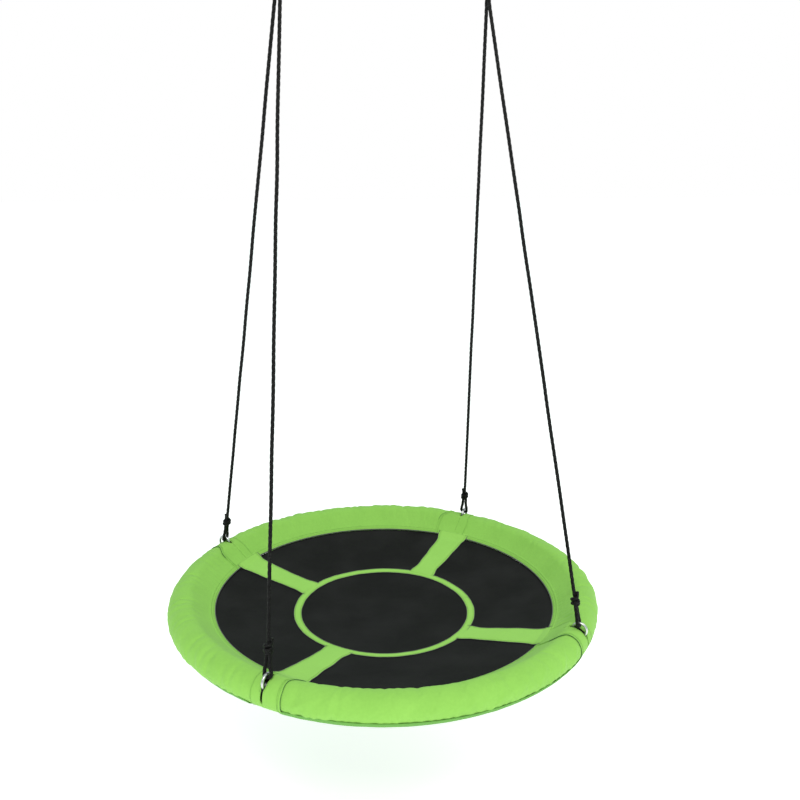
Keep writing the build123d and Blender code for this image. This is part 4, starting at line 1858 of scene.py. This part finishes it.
@dataclass(frozen=True)
class Trims:
    """What is sewn on the mat: four strips, the centre ring, the hem and its piping, with their stitches."""

    layout: Layout
    mat: Mat
    tape: float = 0.0013
    ring_inner: float = 0.2
    ring_outer: float = 0.218
    strip_inner: float = 0.0275
    strip_outer: float = 0.037
    lean: dict[str, float] = field(
        default_factory=lambda: {
            "front_left": 0.0, "front_right": -0.011, "back_right": 0.004, "back_left": -0.003,
        }
    )

    def strip(self, leg: str, wardrobe: "Wardrobe") -> list[bpy.types.Object]:
        """One strip from the centre ring out to the rim, with a bound edge and stitches.

        Args:
            leg: which hanging point it goes to.
            wardrobe: the materials.

        Returns:
            The strip, its edge bindings and its stitches.
        """
        angle = math.radians(LEGS[leg])
        ahead = np.array([math.cos(angle), math.sin(angle)])
        across = np.array([-ahead[1], ahead[0]])
        far = self.layout.mat_radius + 0.011
        out = np.linspace(self.ring_outer - 0.008, far, 76)[:, None]
        side = np.linspace(-1.0, 1.0, 17)[None, :]
        share = (out - self.ring_outer) / (self.layout.mat_radius - self.ring_outer)
        base = self.strip_inner + (self.strip_outer - self.strip_inner) * np.clip(share, 0.0, 1.2)
        wander = 0.0024 * uneven(out * 26.0, np.sign(side) * 4.0, LEGS[leg]) * hump(share, 0.5, 0.5)
        flare = 0.006 * (1.0 - eased(share, -0.02, 0.16)) + 0.005 * eased(share, 0.86, 1.0)
        offset = side * (base + wander + flare) + self.lean[leg] * (1.0 - eased(share, 0.0, 0.85))
        x = out * ahead[0] + offset * across[0]
        y = out * ahead[1] + offset * across[1]
        points = self.mat.surface(x, y, 0.0)
        radius = np.hypot(x, y)
        past = eased(radius, self.layout.mat_radius - 0.011, self.layout.mat_radius - 0.002)
        ending = eased(radius, self.layout.mat_radius + 0.004, self.layout.mat_radius + 0.010)
        slope = self.layout.sleeve()
        slope = slope[(slope[:, 0] >= 128.0) & (slope[:, 0] <= 180.0)][::-1]
        beyond = self.layout.seat_z + np.interp(radius, slope[:, 1], slope[:, 2]) - 0.0012
        points[..., 2] = np.where(radius > self.layout.mat_radius, beyond, points[..., 2])
        edge = eased(np.abs(side), 0.82, 1.0) + 0 * out
        billow = 0.0009 * uneven(out * 22.0, side * 0.8, LEGS[leg] + 3.0) * (1.0 - edge)
        points[..., 2] += 0.0019 - 0.0006 * edge + billow * (1.0 - past) + 0.0024 * past - 0.0012 * ending
        sewn = hump(np.abs(side), 0.9, 0.03) + 0 * out
        lay = np.stack([out + 0 * side, offset, sewn * 0.6], -1)
        name = f"seat_strip_{leg}"
        piece = grid_piece(name, points, lay)
        merge(piece)
        if sum(p.normal.z for p in piece.data.polygons) < 0:
            piece.data.flip_normals()
        piece = apply_modifiers(smooth(solidify(piece, self.tape)))
        wardrobe.dress(piece, Slot.GREEN, wardrobe.strip)
        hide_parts(f"green_strip_{leg}")
        rows, cords = [], []
        up = np.array([0.0, 0.0, 1.0])
        for column in (1, -2):
            line = points[:, column] + up * 0.0001
            rows.append(stitch_row("row", line, np.broadcast_to(up, line.shape), 0.0034, 0.0008))
        for column in (0, -1):
            cords.append(RopeSection(0.0014, 1, 0.02, 8, 0.0, 0.004).sweep("bind", points[:-2, column], 1.0))
        stitches = join(f"strip_stitches_{leg}", rows)
        wardrobe.dress(stitches, Slot.GREEN, wardrobe.thread)
        binding = join(f"strip_binding_{leg}", cords)
        wardrobe.dress(binding, Slot.PIPING)
        return [piece, stitches, binding]

    def centre(self, wardrobe: "Wardrobe") -> list[bpy.types.Object]:
        """The narrow ring round the middle, with its binding and stitches.

        Args:
            wardrobe: the materials.

        Returns:
            The pieces.
        """
        angle = np.linspace(0.0, 2 * math.pi, 300, endpoint=False)[:, None]
        share = np.linspace(0.0, 1.0, 7)[None, :]
        wander = 0.0008 * uneven(np.cos(angle) * 9.0, np.sin(angle) * 9.0, 2.0)
        radius = self.ring_inner + (self.ring_outer - self.ring_inner) * share + wander
        edge = hump(share, 0.0, 0.12) + hump(share, 1.0, 0.12)
        points = self.mat.surface(radius * np.cos(angle), radius * np.sin(angle), 0.0015)
        points[..., 2] -= 0.0005 * edge
        lay = np.stack([angle * self.ring_outer + 0 * share, radius + 0 * angle, 0.4 * edge + 0 * angle], -1)
        ring = grid_piece("seat_centre_ring", points, lay, wrap_rows=True)
        merge(ring)
        if sum(p.normal.z for p in ring.data.polygons) < 0:
            ring.data.flip_normals()
        ring = apply_modifiers(smooth(solidify(ring, self.tape)))
        wardrobe.dress(ring, Slot.GREEN, wardrobe.strip)
        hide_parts("centre_ring")
        up = np.array([0.0, 0.0, 1.0])
        rows = []
        for column in (1, 5):
            line = np.vstack([points[:, column], points[:1, column]])
            rows.append(stitch_row("row", line, np.broadcast_to(up, line.shape), 0.0034, 0.0008))
        stitches = join("centre_ring_stitches", rows)
        wardrobe.dress(stitches, Slot.GREEN, wardrobe.thread)
        cords = []
        for column in (0, -1):
            line = np.vstack([points[:, column], points[:1, column]])
            cords.append(RopeSection(0.0014, 1, 0.02, 8, 0.0, 0.004).sweep("bind", line, 1.0))
        binding = join("centre_ring_binding", cords)
        wardrobe.dress(binding, Slot.PIPING)
        return [ring, stitches, binding]

    def hem(self, wardrobe: "Wardrobe") -> list[bpy.types.Object]:
        """The felled hem where the cover meets the mat, its piping, and two stitch rows.

        Args:
            wardrobe: the materials.

        Returns:
            The pieces.
        """
        layout = self.layout
        edge, level = layout.mat_radius, layout.mat_edge_z
        around = np.linspace(0.0, 360.0, 480, endpoint=False)[:, None]
        turn = np.linspace(166.5, 180.0, 12)[None, :]
        run = np.radians(around) * edge
        inside = eased(turn, 166.5, 168.0) * (1.0 - 0.5 * eased(turn, 178.5, 180.0))
        wave = 0.0003 * np.sin(run * (2 * math.pi / 0.0135) + 2.0 * uneven(run * 20.0, 0 * run, 8.0))
        lift = 0.0004 + (0.0011 + wave) * inside + 0.0004 * (hump(turn, 170.5, 0.9) + hump(turn, 176.0, 0.9))
        points = layout.rim(around, turn, lift)
        sewn = 0.5 * hump(turn, 167.0, 0.6) + 0 * run
        lay = np.stack([run + 0 * turn, layout.cloth_run(turn) + 0 * run, sewn], -1)
        hem = merge(grid_piece("seat_hem", points, lay, wrap_rows=True))
        if sum(p.normal.z for p in hem.data.polygons) < 0:
            hem.data.flip_normals()
        hem = apply_modifiers(smooth(solidify(hem, 0.0009)))
        wardrobe.dress(hem, Slot.GREEN)
        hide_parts("hem_band")
        turned = np.linspace(0.0, 2 * math.pi, 481)
        out = edge - 0.0002
        middle = np.stack([out * np.cos(turned), out * np.sin(turned), 0 * turned + level + 0.0014], -1)
        piping = RopeSection(0.0030, 1, 0.02, 12, 0.0, 0.004).sweep("seat_piping", middle, 4.0)
        wardrobe.dress(piping, Slot.PIPING)
        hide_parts("edge_piping")
        rows = []
        degrees = np.degrees(turned)
        for place in (170.5, 176.0):
            turn = np.full_like(degrees, place)
            line = layout.rim(degrees, turn, np.full_like(degrees, 0.0019))
            rows.append(stitch_row("row", line, layout.outward(degrees, turn), 0.0034, 0.0008))
        stitches = join("hem_stitches", rows)
        wardrobe.dress(stitches, Slot.GREEN, wardrobe.thread)
        return [hem, piping, stitches]

    def build(self, mat: bpy.types.Object, wardrobe: "Wardrobe") -> int:
        """Sew on and dress every trim.

        Args:
            mat: the finished mat; not used.
            wardrobe: the materials.

        Returns:
            How many pieces were made.
        """
        made = self.hem(wardrobe) + self.centre(wardrobe)
        for leg in LEGS:
            made += self.strip(leg, wardrobe)
        for piece in made:
            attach(piece, "saucer")
        LOG.info("%d trims on the mat", len(made))
        return len(made)


def main() -> None:
    """Build the swing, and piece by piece."""
    layout = Layout.measured()
    Studio().build()
    wardrobe = Wardrobe()
    made = sum(SideRope(side, layout).build(wardrobe) for side in SIDES)
    made += RimCover(layout).build(wardrobe)
    made += StrapWrap(layout).build(wardrobe)
    mat = Mat(layout)
    made += 1 + Trims(layout, mat).build(mat.build(wardrobe), wardrobe)
    nodes = wardrobe.dress_nodes()
    LOG.info("%d new pieces, %d packed nodes dressed", made, nodes)


if __name__ == "__main__":
    main()
